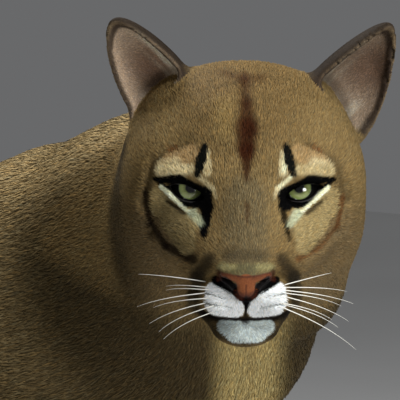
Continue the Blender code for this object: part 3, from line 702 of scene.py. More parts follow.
class Hair(Enum):
    """Colours of the coat and the bare places, and of painted light and shade, as seen on a screen."""

    TAWNY = (122, 102, 66)
    CHEEK = (116, 98, 70)
    CROWN = (104, 84, 52)
    RED = (50, 24, 12)
    BAR = (14, 15, 12)
    BROW = (190, 174, 132)
    # painted light: the brow's colour lightened for the shaded right side
    BROW_PAINTED_LIGHT = (224, 205, 158)
    GOLD = (164, 140, 88)
    BROW_TOP = (150, 124, 84)
    UNDER_EYE = (150, 132, 90)
    UNDER_EDGE = (104, 70, 40)
    SHADOW = (30, 22, 15)
    LID_LINE = (244, 246, 204)
    LID_PATCH = (176, 182, 150)
    BLACK = (5, 5, 4)
    BRIDGE = (98, 87, 63)
    NOSE_BAND = (98, 92, 65)
    BAND_EDGE = (150, 142, 96)
    BRIDGE_END = (66, 58, 42)
    LEATHER = (126, 72, 40)
    # painted shade on the nose leather
    LEATHER_SHADE = (66, 32, 22)
    NOSTRIL = (8, 4, 4)
    WHITE = (242, 246, 244)
    CHIN = (196, 207, 203)
    # painted shade in the creases of the pads' rows
    PAD_ROW_SHADE = (62, 68, 60)
    LIP = (26, 21, 16)
    # the dark sides of the muzzle, also painted shade in the fold beside the neck
    MUZZLE_SIDE_AND_SHADE = (42, 36, 26)
    EAR_BACK = (50, 42, 34)
    EAR_IN = (148, 130, 110)
    EAR_DEEP = (108, 87, 71)
    # the dark line inside the ear's rim, also painted shade in the crease at the ear's foot
    EAR_LINE_AND_SHADE = (48, 38, 30)
    EAR_RIM = (124, 106, 80)
    EAR_HAIR = (172, 162, 142)
    # painted light on the body's top and painted shade on its sides: a lit and a shaded copy of its coat
    BACK_PAINTED_LIGHT = (156, 134, 93)
    FLANK_PAINTED_SHADE = (86, 73, 48)
    BELLY = (206, 192, 158)
    # painted shade on the neck and on the head's shaded side
    NECK_SHADE = (70, 59, 39)
    THROAT = (184, 163, 108)
    THROAT_RED = (116, 82, 52)
    TAIL_TIP = (40, 32, 26)
    SOLE = (44, 36, 32)
    PAW = (150, 132, 98)

    @property
    def light(self) -> Array:
        """The colour as light."""
        return linear(self.value)


@dataclass(frozen=True)
class Mark:
    """A mark on the face: a tapered stroke in the plane the face shows, in millimetres.

    The plane lies across the head at the tilt the face is seen at: sideways from the middle of
    the face, and upwards from the eyes.
    """

    colour: Hair
    start: tuple
    end: tuple
    radius: float
    end_radius: float
    strength: float = 1.0
    soft: float = 1.0
    paired: bool = True

    def cover(self, side: Array, rise: Array) -> Array:
        """How far the mark covers each place, from 0 to its strength."""
        sideways = np.abs(side) if self.paired else side
        start, line = np.array(self.start), np.array(self.end) - np.array(self.start)
        a, b = sideways * 1000 - start[0], rise * 1000 - start[1]
        along = np.clip((a * line[0] + b * line[1]) / max(line @ line, 1e-9), 0, 1)
        away = np.hypot(a - along * line[0], b - along * line[1])
        away = away - (self.radius + (self.end_radius - self.radius) * along)
        return self.strength * (1 - smooth(-self.soft, self.soft, away))


class Markings:
    """What colour the coat and the bare skin have at any place on the animal, with painted light and shade."""

    FACE = (
        Mark(Hair.CROWN, (0, 100), (0, 62), 46, 40, 0.75, 22, False),
        Mark(Hair.BRIDGE, (0, -8), (0, -56), 15, 15, 0.75, 7, False),
        Mark(Hair.CHEEK, (66, -34), (58, -66), 22, 20, 0.7, 16),
        # painted shade down the head's right side, away from the light
        Mark(Hair.NECK_SHADE, (-90, 12), (-76, -64), 9, 15, 0.5, 14, False),
        Mark(Hair.RED, (0, 80), (1, 60), 3.4, 4.0, 0.65, 4.0, False),
        Mark(Hair.RED, (1, 60), (1, 42), 3.8, 8.0, 0.8, 4.0, False),
        Mark(Hair.RED, (1, 42), (1, 26), 7.6, 6.2, 0.9, 3.5, False),
        Mark(Hair.RED, (1, 26), (1, 4), 5.8, 1.0, 0.9, 2.5, False),
        Mark(Hair.RED, (-15, 84), (-3, 79), 2.4, 3.6, 0.55, 4.5, False),
        Mark(Hair.RED, (2, 78), (13, 80), 3.4, 2.6, 0.55, 4.5, False),
        Mark(Hair.RED, (1, -13), (1, -25), 1.8, 1.2, 0.6, 1.6, False),
        Mark(Hair.SHADOW, (44, 31), (63, 20), 1.6, 2.4, 0.55, 3.0),
        Mark(Hair.SHADOW, (66, 14), (70, -4), 3.0, 3.0, 0.55, 4.0),
        Mark(Hair.BROW_TOP, (38, 25), (52, 19), 6.4, 7.0, 0.95, 1.4),
        Mark(Hair.BROW, (39, 13.0), (60, 12.6), 3.6, 3.6, 0.95, 1.6),
        Mark(Hair.BROW, (50, 17), (58, 16), 5.0, 4.4, 0.8, 2.4),
        Mark(Hair.BROW, (27.4, 24), (26.6, 11), 2.6, 3.4, 0.85, 1.0),
        # painted light on the right brow, which lies in shade
        Mark(Hair.BROW_PAINTED_LIGHT, (-44, 13), (-60, 12.4), 3.6, 3.4, 0.8, 1.8, False),
        Mark(Hair.UNDER_EYE, (41, 13), (59, 13), 4.0, 4.0, 0.6, 2.0, False),
        Mark(Hair.GOLD, (-15, 58), (-14, 40), 5, 5, 0.35, 9.0, False),
        Mark(Hair.UNDER_EDGE, (49, 29.5), (54, 26.5), 1.6, 1.2, 0.9, 1.0),
        Mark(Hair.SHADOW, (-70, -2), (-67, -24), 2.0, 2.6, 0.9, 1.6, False),
        Mark(Hair.SHADOW, (-67, -24), (-55, -41), 2.6, 2.8, 0.9, 1.8, False),
        Mark(Hair.SHADOW, (-55, -41), (-36, -50), 2.8, 3.6, 0.9, 1.8, False),
        Mark(Hair.UNDER_EDGE, (69, -6), (66, -27), 1.9, 1.6, 0.9, 1.4, False),
        Mark(Hair.UNDER_EDGE, (66, -27), (51, -42), 1.6, 1.5, 0.7, 1.4, False),
        Mark(Hair.UNDER_EDGE, (51, -42), (36, -50), 1.5, 2.0, 0.8, 1.4, False),
        Mark(Hair.UNDER_EYE, (44, -20), (57, -12), 12, 9.6, 0.95, 1.2),
        Mark(Hair.UNDER_EYE, (56, -12), (62.4, -3.4), 9.0, 4.2, 0.95, 1.2),
        Mark(Hair.UNDER_EYE, (46, -22), (40, -41), 14, 6.0, 0.95, 1.2),
        Mark(Hair.SHADOW, (-52, -17), (-44, -36), 12, 8, 0.40, 4.5, False),
        Mark(Hair.BLACK, (31, -1), (46, 6.4), 2.8, 3.2, 1.0, 0.8),
        Mark(Hair.BLACK, (46, 6.8), (63, 6.6), 3.2, 1.7, 1.0, 0.8),
        Mark(Hair.BLACK, (28, -4), (28, -12), 5.4, 5.0, 1.0, 0.8),
        Mark(Hair.BLACK, (29, -5), (34, -9), 4.8, 4.4, 1.0, 0.8),
        Mark(Hair.BLACK, (-26.5, -14), (-28.6, -33), 4.8, 3.0, 1.0, 1.2, False),
        Mark(Hair.BLACK, (25.5, -14), (29.6, -37), 2.6, 1.1, 0.9, 1.0, False),
        Mark(Hair.BLACK, (31, -8.5), (42, -9.6), 3.0, 2.6, 1.0, 0.8),
        Mark(Hair.BLACK, (42, -9.6), (60, 4.5), 2.6, 1.8, 1.0, 0.8),
        Mark(Hair.SHADOW, (43, -16.8), (54, -8.9), 1.7, 1.3, 0.8, 1.1),
        Mark(Hair.BROW, (34, 9.6), (22.5, -1.0), 1.9, 1.7, 0.9, 1.0),
        Mark(Hair.LID_LINE, (32, 8.2), (22.0, -1.6), 1.2, 1.1, 0.65, 0.9, False),
        Mark(Hair.LID_LINE, (28.2, 22), (27.2, 12), 1.4, 1.8, 0.6, 1.0, False),
        Mark(Hair.BROW, (22.5, -1.0), (20.4, -8), 1.5, 0.9, 0.7, 1.2),
        Mark(Hair.BAR, (28.6, 29), (31.2, 19), 2.2, 3.9, 1.0, 0.8),
        Mark(Hair.BAR, (31.2, 19), (33.8, 9.4), 3.9, 2.2, 1.0, 0.8),
        Mark(Hair.LID_PATCH, (37, -16.6), (31, -26), 3.4, 2.4, 0.85, 1.6),
        Mark(Hair.LID_LINE, (59, 1.4), (51, -6.2), 1.5, 1.4, 1.0, 0.6),
        Mark(Hair.LID_LINE, (51, -6.2), (39.5, -14.8), 1.3, 1.3, 0.95, 0.6),
        Mark(Hair.BRIDGE_END, (-12, -48), (12, -48), 4.0, 4.0, 0.6, 3.5, False),
        Mark(Hair.NOSE_BAND, (-17, -56.0), (17, -56.0), 2.8, 2.8, 0.85, 1.6, False),
        Mark(Hair.NOSE_BAND, (-8, -57.6), (8, -57.6), 2.8, 2.8, 0.85, 1.6, False),
        Mark(Hair.BAND_EDGE, (15, -59.0), (0, -61.6), 0.9, 0.9, 0.7, 0.9),
        Mark(Hair.BAND_EDGE, (8, -56), (16.5, -55), 2.0, 2.6, 0.55, 1.8),
        Mark(Hair.MUZZLE_SIDE_AND_SHADE, (24, -50), (33, -62), 4.0, 5.0, 0.85, 3.0),
        Mark(Hair.MUZZLE_SIDE_AND_SHADE, (33, -62), (37, -84), 5.0, 5.0, 0.85, 3.0),
        Mark(Hair.MUZZLE_SIDE_AND_SHADE, (4, -93), (33, -88.5), 4.4, 3.6, 1.0, 2.0),
        Mark(Hair.MUZZLE_SIDE_AND_SHADE, (29, -90), (21, -103), 4.4, 3.6, 0.85, 4.0),
        Mark(Hair.MUZZLE_SIDE_AND_SHADE, (21, -103), (0, -109.5), 3.4, 2.8, 0.8, 4.0),
        Mark(Hair.WHITE, (9.0, -82), (19, -75.6), 7.4, 8.6, 1.0, 0.7),
        Mark(Hair.WHITE, (21.5, -71.0), (22.5, -79), 5.6, 6.0, 1.0, 0.7),
        Mark(Hair.WHITE, (7.0, -83.6), (21, -82.8), 6.2, 5.6, 1.0, 0.7),
        Mark(Hair.CHIN, (-13, -97.0), (14, -97.0), 5.8, 5.8, 1.0, 0.9, False),
        Mark(Hair.CHIN, (-6.5, -99.6), (7.5, -99.6), 8.2, 8.2, 1.0, 0.9, False),
        # painted shade along the creases of the pads' rows
        Mark(Hair.PAD_ROW_SHADE, (28, -73.2), (14, -76.4), 0.8, 0.5, 0.9, 0.5),
        Mark(Hair.PAD_ROW_SHADE, (27.5, -79.8), (10, -82.8), 0.8, 0.5, 0.85, 0.5),
        Mark(Hair.LIP, (0, -91.6), (22, -91.2), 1.3, 1.2, 1.0, 0.6),
        Mark(Hair.LIP, (22, -91.2), (31, -87.6), 1.2, 2.2, 1.0, 0.8),
        Mark(Hair.LIP, (0, -78), (0, -87), 0.9, 0.8, 1.0, 0.6, False),
        Mark(Hair.LIP, (0, -87), (0, -92), 1.0, 3.0, 0.9, 0.8, False),
        Mark(Hair.BLACK, (9.0, -70.2), (20.5, -64.0), 3.2, 2.8, 1.0, 0.6),
        Mark(Hair.BLACK, (0.0, -78.6), (9.0, -70.2), 1.6, 3.0, 1.0, 0.6),
        Mark(Hair.LEATHER, (6, -62.8), (16.4, -60.4), 2.5, 2.3, 1.0, 0.35),
        Mark(Hair.LEATHER, (0, -63.9), (6, -62.8), 2.9, 2.5, 1.0, 0.35),
        Mark(Hair.LEATHER, (0, -66), (0, -70.0), 6.8, 6.0, 1.0, 0.35, False),
        Mark(Hair.LEATHER, (0, -70.0), (0, -74.6), 6.0, 1.0, 1.0, 0.35, False),
        Mark(Hair.NOSTRIL, (15.8, -62.8), (9.4, -68.0), 2.2, 3.0, 1.0, 0.4),
        # painted shade on the nose leather: darker along its top edge, at its sides, down its middle groove and at its
        # bottom
        Mark(Hair.LEATHER_SHADE, (16.4, -58.6), (5.5, -60.7), 0.7, 0.7, 0.8, 0.6),
        Mark(Hair.LEATHER_SHADE, (5.5, -60.7), (0, -61.4), 0.7, 0.7, 0.8, 0.6),
        Mark(Hair.LEATHER_SHADE, (18.0, -58.8), (18.6, -63.8), 1.8, 1.2, 0.75, 1.0),
        Mark(Hair.LEATHER_SHADE, (0, -67), (0, -75), 0.3, 0.6, 0.9, 0.4, False),
        Mark(Hair.LEATHER_SHADE, (-5, -75.4), (5, -75.4), 2.4, 2.4, 0.8, 2.6, False),
        Mark(Hair.LEATHER_SHADE, (15, -60.2), (4, -62.4), 0.9, 0.9, 0.5, 1.6),
        Mark(Hair.BLACK, (0.6, -78.0), (0.6, -83.5), 3.2, 0.7, 1.0, 0.8, False),
        # painted shade on the nose leather's lower middle
        Mark(Hair.LEATHER_SHADE, (6.4, -71.0), (1.4, -75.4), 0.7, 0.6, 0.7, 1.2),
    )

    def __init__(self, animal: Animal) -> None:
        """Keep the animal whose places are coloured."""
        self.animal = animal

    def bare(self, local: Array) -> Array:
        """1 on the nose leather and where no hair grows, fading to 0 on the coat."""
        side, rise, ahead = face_plane(local)
        bare = np.zeros(len(local))
        for mark in self.FACE:
            if mark.colour in (Hair.LEATHER, Hair.NOSTRIL):
                bare = np.maximum(bare, mark.cover(side, rise))
        return bare * smooth(0.020, 0.030, ahead)

    def colour(self, points: Array, normals: Array) -> Array:
        """Colour of the coat, as light, for rows of places and the way the skin faces there."""
        local = (points - EYES_AT) @ HEAD.T
        colour = self.body(points, normals, local)
        near = np.linalg.norm(local - np.array([-0.03, 0, -0.02]), axis=1) < 0.26
        if near.any():
            colour[near] = self.face(local[near], points[near], normals[near], colour[near])
        return colour

    def body(self, points: Array, normals: Array, local: Array) -> Array:
        """Painted light on places that face up, painted shade on the sides and on the neck beside the head, pale below,
        dark at the tail's end and on the soles.
        """
        wave = ripple(points, 38, 3)
        up = normals[:, 2] + 0.14 * wave
        # painted light and shade: places facing up take a far lighter colour than the sides, as if lit from above
        colour = mix(Hair.FLANK_PAINTED_SHADE.light, Hair.BACK_PAINTED_LIGHT.light, smooth(0.05, 0.80, up)[:, None])
        low = smooth(-0.15, -0.75, up) * smooth(0.05, 0.20, points[:, 2]) * smooth(-0.40, -0.25, points[:, 1])
        inner = smooth(0.2, 0.8, -normals[:, 0] * np.sign(points[:, 0])) * smooth(0.50, 0.40, points[:, 2])
        colour = mix(colour, Hair.BELLY.light, np.maximum(low, 0.75 * inner)[:, None])
        colour = mix(colour, Hair.PAW.light, (0.6 * smooth(0.20, 0.04, points[:, 2]))[:, None])
        tail = self.animal.tail.distance(points) < 0.012
        share = np.linalg.norm(points[:, None] - self.animal.path[None, ::2], axis=2).argmin(1) * 2 / TAIL_STEPS
        colour = mix(colour, Hair.TAIL_TIP.light, (tail * smooth(0.80, 0.96, share + 0.04 * wave))[:, None])
        sole = smooth(-0.75, -0.95, normals[:, 2]) * (points[:, 2] < 0.006)
        away = np.linalg.norm(local - np.array([-0.02, 0, -0.02]), axis=1)
        # painted shade: the neck's sides next to the head, though not its top, darkened where the head shades them
        neck_shade = smooth(0.105, 0.145, away) * smooth(0.29, 0.17, away) * smooth(0.75, 0.30, normals[:, 2])
        colour = mix(colour, Hair.NECK_SHADE.light, (0.85 * neck_shade)[:, None])
        throat = smooth(-0.090, -0.125, local[:, 2]) * smooth(-0.16, -0.05, local[:, 0])
        throat *= smooth(0.036, 0.012, np.abs(local[:, 1] - 0.006))
        streak = smooth(0.1, 0.8, ripple(local * (6, 30, 3), 4.4, 8))
        colour = mix(colour, mix(Hair.THROAT.light, Hair.THROAT_RED.light, 0.6 * streak[:, None]),
                     (0.85 * throat)[:, None])
        return mix(colour, Hair.SOLE.light, sole[:, None])

    def face(self, local: Array, points: Array, normals: Array, body: Array) -> Array:
        """The head's own markings, and painted shade on its right side behind the cheek, over the body's colour."""
        side, rise, ahead = face_plane(local)
        front = smooth(-0.085, -0.060, ahead)
        head = smooth(-0.17, -0.12, local[:, 0]) * smooth(-0.135, -0.105, local[:, 2])
        colour = mix(body, Hair.TAWNY.light, head[:, None])
        wave = ripple(points, 60, 5)
        colour = mix(colour, Hair.CROWN.light, (0.35 * head * smooth(0.2, 0.9, wave))[:, None])
        # painted shade: the head's right side behind the cheek darkened as if in shadow
        behind = smooth(-0.050, -0.085, ahead) * smooth(0.050, 0.080, -side)
        behind = np.maximum(behind, smooth(-0.030, -0.060, ahead) * smooth(0.070, 0.088, -side))
        above = self.animal.head.distance(points)
        behind *= smooth(0.050, 0.025, rise) * smooth(0.015, 0.003, above)
        colour = mix(colour, Hair.NECK_SHADE.light, (0.85 * behind)[:, None])
        # painted shade, darker still, in the fold where the head's right side meets the neck
        behind *= smooth(0.078, 0.090, -side) * smooth(-0.030, -0.055, ahead)
        colour = mix(colour, Hair.MUZZLE_SIDE_AND_SHADE.light, (0.8 * behind)[:, None])
        for mark in self.FACE:
            strength = mark.cover(side, rise) * (front if mark.soft < 5 else head)
            colour = mix(colour, mark.colour.light, strength[:, None])
        return self.ears(local, normals, colour, above)

    @staticmethod
    def ears(local: Array, normals: Array, colour: Array, above: Array) -> Array:
        """Dark backs, pale hollows with a brown middle and a dark-lined rim, lightened by the ear's tone (painted light
        in the right ear's shaded hollow), and painted shade in the crease at the foot.

        Args:
            local: places in the head's frame.
            normals: the way the skin faces there.
            colour: the head's colour there.
            above: how far each place stands off the head.
        """
        folded = fold(local)
        facing = normals @ HEAD.T
        facing[:, 1] *= np.sign(local[:, 1])
        for side, ear in EARS.items():
            here = (np.sign(local[:, 1]) == side) & (ear.distance(folded) < 0.003)
            if here.any():
                across, up, out = ear.local(folded[here]).T
                front = smooth(-0.1, 0.35, facing[here] @ ear.axes()[2])
                reach = ear.reach(across, up)
                outward, risen = across / ear.half, up / ear.height
                spot = np.hypot(outward - ear.dark[0], (risen - ear.dark[1]) * 1.7)
                deep = 0.45 * smooth(1.0, 0.4, spot) + 0.55 * smooth(0.65, 0.15, spot)
                inside = mix(Hair.EAR_IN.light, Hair.EAR_DEEP.light, deep[:, None])
                streak = smooth(-0.5, 0.7, ripple(np.stack([outward - 0.5 * risen, 0.2 * risen, 0 * up], 1), 26, 4))
                pale = np.maximum(smooth(0.10, -0.55, outward), smooth(0.22, 0.05, risen)) * smooth(1.0, 0.7, risen)
                inside = mix(inside, Hair.EAR_HAIR.light, (0.75 * pale * streak)[:, None])
                # painted light: the hollow lightened by the ear's tone and hairs, most on the right ear, whose cup lies
                # in shade
                inside = inside * (ear.tone + ear.hairs * pale)[:, None]
                inside = mix(inside, Hair.EAR_LINE_AND_SHADE.light, (0.9 * smooth(0.80, 0.86, reach))[:, None])
                rim = mix(0.25, 0.8, smooth(-0.3, 0.3, outward)) * smooth(0.90, 0.93, reach)
                inside = mix(inside, Hair.EAR_RIM.light, rim[:, None])
                inside = mix(inside, Hair.EAR_BACK.light, smooth(0.95, 0.985, reach)[:, None])
                # painted shade in the crease where the ear meets the head
                crease = smooth(0.0080, 0.0015, above[here]) * smooth(-0.006, -0.001, above[here])
                inside = mix(inside, Hair.EAR_LINE_AND_SHADE.light, (0.55 * crease)[:, None])
                behind = mix(colour[here], Hair.EAR_BACK.light, smooth(0.004, 0.022, up)[:, None])
                risen = smooth(-0.010, -0.004, up)[:, None]
                colour[here] = mix(behind, mix(colour[here], inside, risen), front[:, None])
        return colour


class HairGrain:
    """A shared effect: fine light and dark in a colour, with a matching height."""

    def __init__(self) -> None:
        """Build the node group with named sockets."""
        tree = bpy.data.node_groups.new("hair grain", "ShaderNodeTree")
        for name, kind, way, value in (
                ("Colour", "NodeSocketColor", "INPUT", None), ("Scale", "NodeSocketFloat", "INPUT", 300.0),
                ("Amount", "NodeSocketFloat", "INPUT", 0.3), ("Colour", "NodeSocketColor", "OUTPUT", None),
                ("Height", "NodeSocketFloat", "OUTPUT", None)):
            socket = tree.interface.new_socket(name, in_out=way, socket_type=kind)
            if value is not None:
                socket.default_value = value
        nodes, links = tree.nodes, tree.links
        inward, outward = nodes.new("NodeGroupInput"), nodes.new("NodeGroupOutput")
        place = nodes.new("ShaderNodeTexCoord")
        noise = nodes.new("ShaderNodeTexNoise")
        noise.inputs["Detail"].default_value = 3.0
        spread = nodes.new("ShaderNodeMath")
        spread.operation = "MULTIPLY_ADD"
        centred = nodes.new("ShaderNodeMath")
        centred.operation = "MULTIPLY_ADD"
        centred.inputs[1].default_value, centred.inputs[2].default_value = 2.0, -1.0
        tint = nodes.new("ShaderNodeVectorMath")
        tint.operation = "SCALE"
        links.new(place.outputs["Object"], noise.inputs["Vector"])
        links.new(inward.outputs["Scale"], noise.inputs["Scale"])
        links.new(noise.outputs["Fac"], centred.inputs[0])
        links.new(centred.outputs[0], spread.inputs[0])
        links.new(inward.outputs["Amount"], spread.inputs[1])
        spread.inputs[2].default_value = 1.0
        links.new(inward.outputs["Colour"], tint.inputs[0])
        links.new(spread.outputs[0], tint.inputs["Scale"])
        links.new(tint.outputs[0], outward.inputs["Colour"])
        links.new(noise.outputs["Fac"], outward.inputs["Height"])
        self.tree = tree

    def place(self, material: bpy.types.Material, scale: float, amount: float) -> bpy.types.Node:
        """Put the group into a material with its own values."""
        node = material.node_tree.nodes.new("ShaderNodeGroup")
        node.node_tree = self.tree
        node.inputs["Scale"].default_value = scale
        node.inputs["Amount"].default_value = amount
        return node


def blank_material(name: str, **values) -> tuple[bpy.types.Material, bpy.types.Node]:
    """A Principled material with constant values set on the shader's own sockets.

    Args:
        name: the material's name.
        values: socket names with underscores for spaces.

    Returns:
        The material and its shader node.
    """
    material = bpy.data.materials.new(name)
    material.use_nodes = True
    shader = material.node_tree.nodes["Principled BSDF"]
    for key, value in values.items():
        shader.inputs[key.replace("_", " ")].default_value = value
    return material, shader


@dataclass(frozen=True)
class CoatFinish:
    """The finish of the tufts: colour from the markings, broken by fine grain."""

    name: str
    scale: float = 900.0
    amount: float = 0.35
    roughness: float = 0.55

    def build(self, grain: HairGrain) -> bpy.types.Material:
        """The material, reading the tufts' own colour."""
        material, shader = blank_material(
            self.name, Roughness=self.roughness, Specular_IOR_Level=0.01)
        nodes, links = material.node_tree.nodes, material.node_tree.links
        colour = nodes.new("ShaderNodeAttribute")
        colour.attribute_name = "hair colour"
        node = grain.place(material, self.scale, self.amount)
        links.new(colour.outputs["Color"], node.inputs["Colour"])
        links.new(node.outputs["Colour"], shader.inputs["Base Color"])
        return material


@dataclass(frozen=True)
class SkinFinish:
    """The finish of the skin: short flat fur, and pebbled damp leather where it is bare."""

    name: str = "skin"
    hair_scale: float = 700.0
    pebble_scale: float = 1500.0

    def build(self, grain: HairGrain) -> bpy.types.Material:
        """The material, rough under the coat and smoother where the skin is bare."""
        material, shader = blank_material(self.name, Specular_IOR_Level=0.13)
        nodes, links = material.node_tree.nodes, material.node_tree.links
        colour, bare = nodes.new("ShaderNodeAttribute"), nodes.new("ShaderNodeAttribute")
        colour.attribute_name, bare.attribute_name = "hair colour", "bare"
        node = grain.place(material, self.hair_scale, 0.5)
        links.new(colour.outputs["Color"], node.inputs["Colour"])
        links.new(node.outputs["Colour"], shader.inputs["Base Color"])
        gloss = nodes.new("ShaderNodeMapRange")
        gloss.inputs["To Min"].default_value, gloss.inputs["To Max"].default_value = 0.85, 0.42
        links.new(bare.outputs["Fac"], gloss.inputs["Value"])
        links.new(gloss.outputs["Result"], shader.inputs["Roughness"])
        place, pebble = nodes.new("ShaderNodeTexCoord"), nodes.new("ShaderNodeTexVoronoi")
        pebble.inputs["Scale"].default_value = self.pebble_scale
        links.new(place.outputs["Object"], pebble.inputs["Vector"])
        height = nodes.new("ShaderNodeMix")
        links.new(bare.outputs["Fac"], height.inputs["Factor"])
        links.new(node.outputs["Height"], height.inputs["A"])
        links.new(pebble.outputs["Distance"], height.inputs["B"])
        bump = nodes.new("ShaderNodeBump")
        bump.inputs["Strength"].default_value, bump.inputs["Distance"].default_value = 0.6, 0.0005
        links.new(height.outputs["Result"], bump.inputs["Height"])
        links.new(bump.outputs["Normal"], shader.inputs["Normal"])
        return material


FLESH_NODES = ("head", "ear_left", "ear_right", "neck", "torso", "tail_base", "tail_middle", "tail_tip",
               *(f"{part}_{word}" for word in ("left", "right") for part in
                 ("upper_foreleg", "forearm", "forepaw", "thigh", "shank", "hindpaw")))


@dataclass
class Skin:
    """One closed skin over the whole animal, finest at the eyes, nose and mouth."""

    animal: Animal
    markings: Markings
    place: Array
    fine: float = 0.0032
    coarse: float = 0.0092
    # Middle and reach of each place that is drawn finer, and how many times its facets are halved
    zones: tuple = (((-0.012, 0.040, -0.008), 0.024, 2), ((0.068, 0.004, -0.040), 0.026, 2),
                    ((0.050, 0.022, -0.076), 0.020, 2), ((0.072, 0.0, -0.072), 0.014, 2),
                    ((-0.100, 0.096, 0.054), 0.056, 1))

    def build(self, grain: HairGrain) -> bpy.types.Object:
        """Draw, refine and dress the skin."""
        corners = np.array([[x, y, z] for x in (-0.30, 0.20) for y in (-0.72, 0.95) for z in (-0.01, 0.85)])
        corners = (corners - EYES_AT) @ HEAD.T
        points, quads, size = SurfaceNet(self.fine, self.coarse).draw(
            self.animal.skin, corners.min(0), corners.max(0))
        edges = np.concatenate([quads[:, [i, (i + 1) % 4]] for i in range(4)])
        points = settle(self.animal.skin, points, size)
        for _ in range(2):
            points = settle(self.animal.skin, relax(points, edges, 0.6), size)
        log.info("skin net: %d places, %d quads", len(points), len(quads))
        mesh = new_mesh("skin", points, quads)
        bm = bmesh.new()
        bm.from_mesh(mesh.data)
        bpy.data.objects.remove(mesh)
        for level in range(2):
            self.refine(bm, self.fine / 2**level, level)
        points = np.array([v.co for v in bm.verts])
        faces = [[v.index for v in face.verts] for face in bm.faces]
        bm.free()
        self.thing = new_mesh("skin", points @ HEAD + EYES_AT, faces)
        self.dress(grain)
        return self.thing

    def refine(self, bm: bmesh.types.BMesh, size: float, level: int) -> None:
        """Halve the facets round the eyes, nose and mouth and draw them onto the form again."""
        points = fold(np.array([v.co for v in bm.verts]))
        inside = np.zeros(len(points), dtype=bool)
        for middle, reach, levels in self.zones:
            if level < levels:
                inside |= np.linalg.norm(points - np.array(middle), axis=1) < reach * (1 - 0.15 * level)
        bm.verts.ensure_lookup_table()
        edges = [e for e in bm.edges if inside[e.verts[0].index] and inside[e.verts[1].index]]
        before = len(bm.verts)
        bmesh.ops.subdivide_edges(bm, edges=edges, cuts=1, use_grid_fill=True, smooth=0.0)
        bm.verts.index_update()
        points = np.array([v.co for v in bm.verts])
        near = np.zeros(len(points), dtype=bool)
        near[:before] = inside
        near[before:] = True
        pairs = np.array([[e.verts[0].index, e.verts[1].index] for e in bm.edges])
        size = np.full(near.sum(), size * 0.5)
        for _ in range(2):
            points[near] = relax(points, pairs, 0.5)[near]
            points[near] = settle(self.animal.skin, points[near], size, 3)
        for vertex, point in zip(bm.verts, points):
            vertex.co = point

    def dress(self, grain: HairGrain) -> None:
        """Give each place its colour and bareness, then move the skin to where the solids stand."""
        mesh = self.thing.data
        count = len(mesh.vertices)
        points, normals = np.empty(count * 3, np.float32), np.empty(count * 3, np.float32)
        mesh.vertices.foreach_get("co", points)
        mesh.vertex_normals.foreach_get("vector", normals)
        points, normals = points.reshape(-1, 3).astype(float), normals.reshape(-1, 3).astype(float)
        colour = np.ones((count, 4))
        colour[:, :3] = self.markings.colour(points, normals)
        bare = self.markings.bare((points - EYES_AT) @ HEAD.T)
        colour[:, :3] *= mix(0.80, 1.0, bare)[:, None]
        mesh.attributes.new("hair colour", "FLOAT_COLOR", "POINT").data.foreach_set(
            "color", colour.astype(np.float32).ravel())
        mesh.attributes.new("bare", "FLOAT", "POINT").data.foreach_set("value", bare.astype(np.float32))
        self.points, self.normals = points, normals
        triangles = np.array([t.vertices[:] for t in self.loop_triangles(mesh)])
        self.triangles = triangles
        mesh.vertices.foreach_set("co", (points + self.place).astype(np.float32).ravel())
        mesh.update()
        mesh.materials.append(SkinFinish().build(grain))
        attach(self.thing, "root")
        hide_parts(*FLESH_NODES)
        log.info("skin: %d triangles", len(triangles))

    @staticmethod
    def loop_triangles(mesh: bpy.types.Mesh) -> list:
        """The mesh's faces as triangles."""
        mesh.calc_loop_triangles()
        return mesh.loop_triangles


@dataclass(frozen=True)
class Pelt:
    """How the coat grows over a range of the body: length, width and cover of its tufts."""

    length: float
    width: float
    cover: float
    lift: float = 0.26


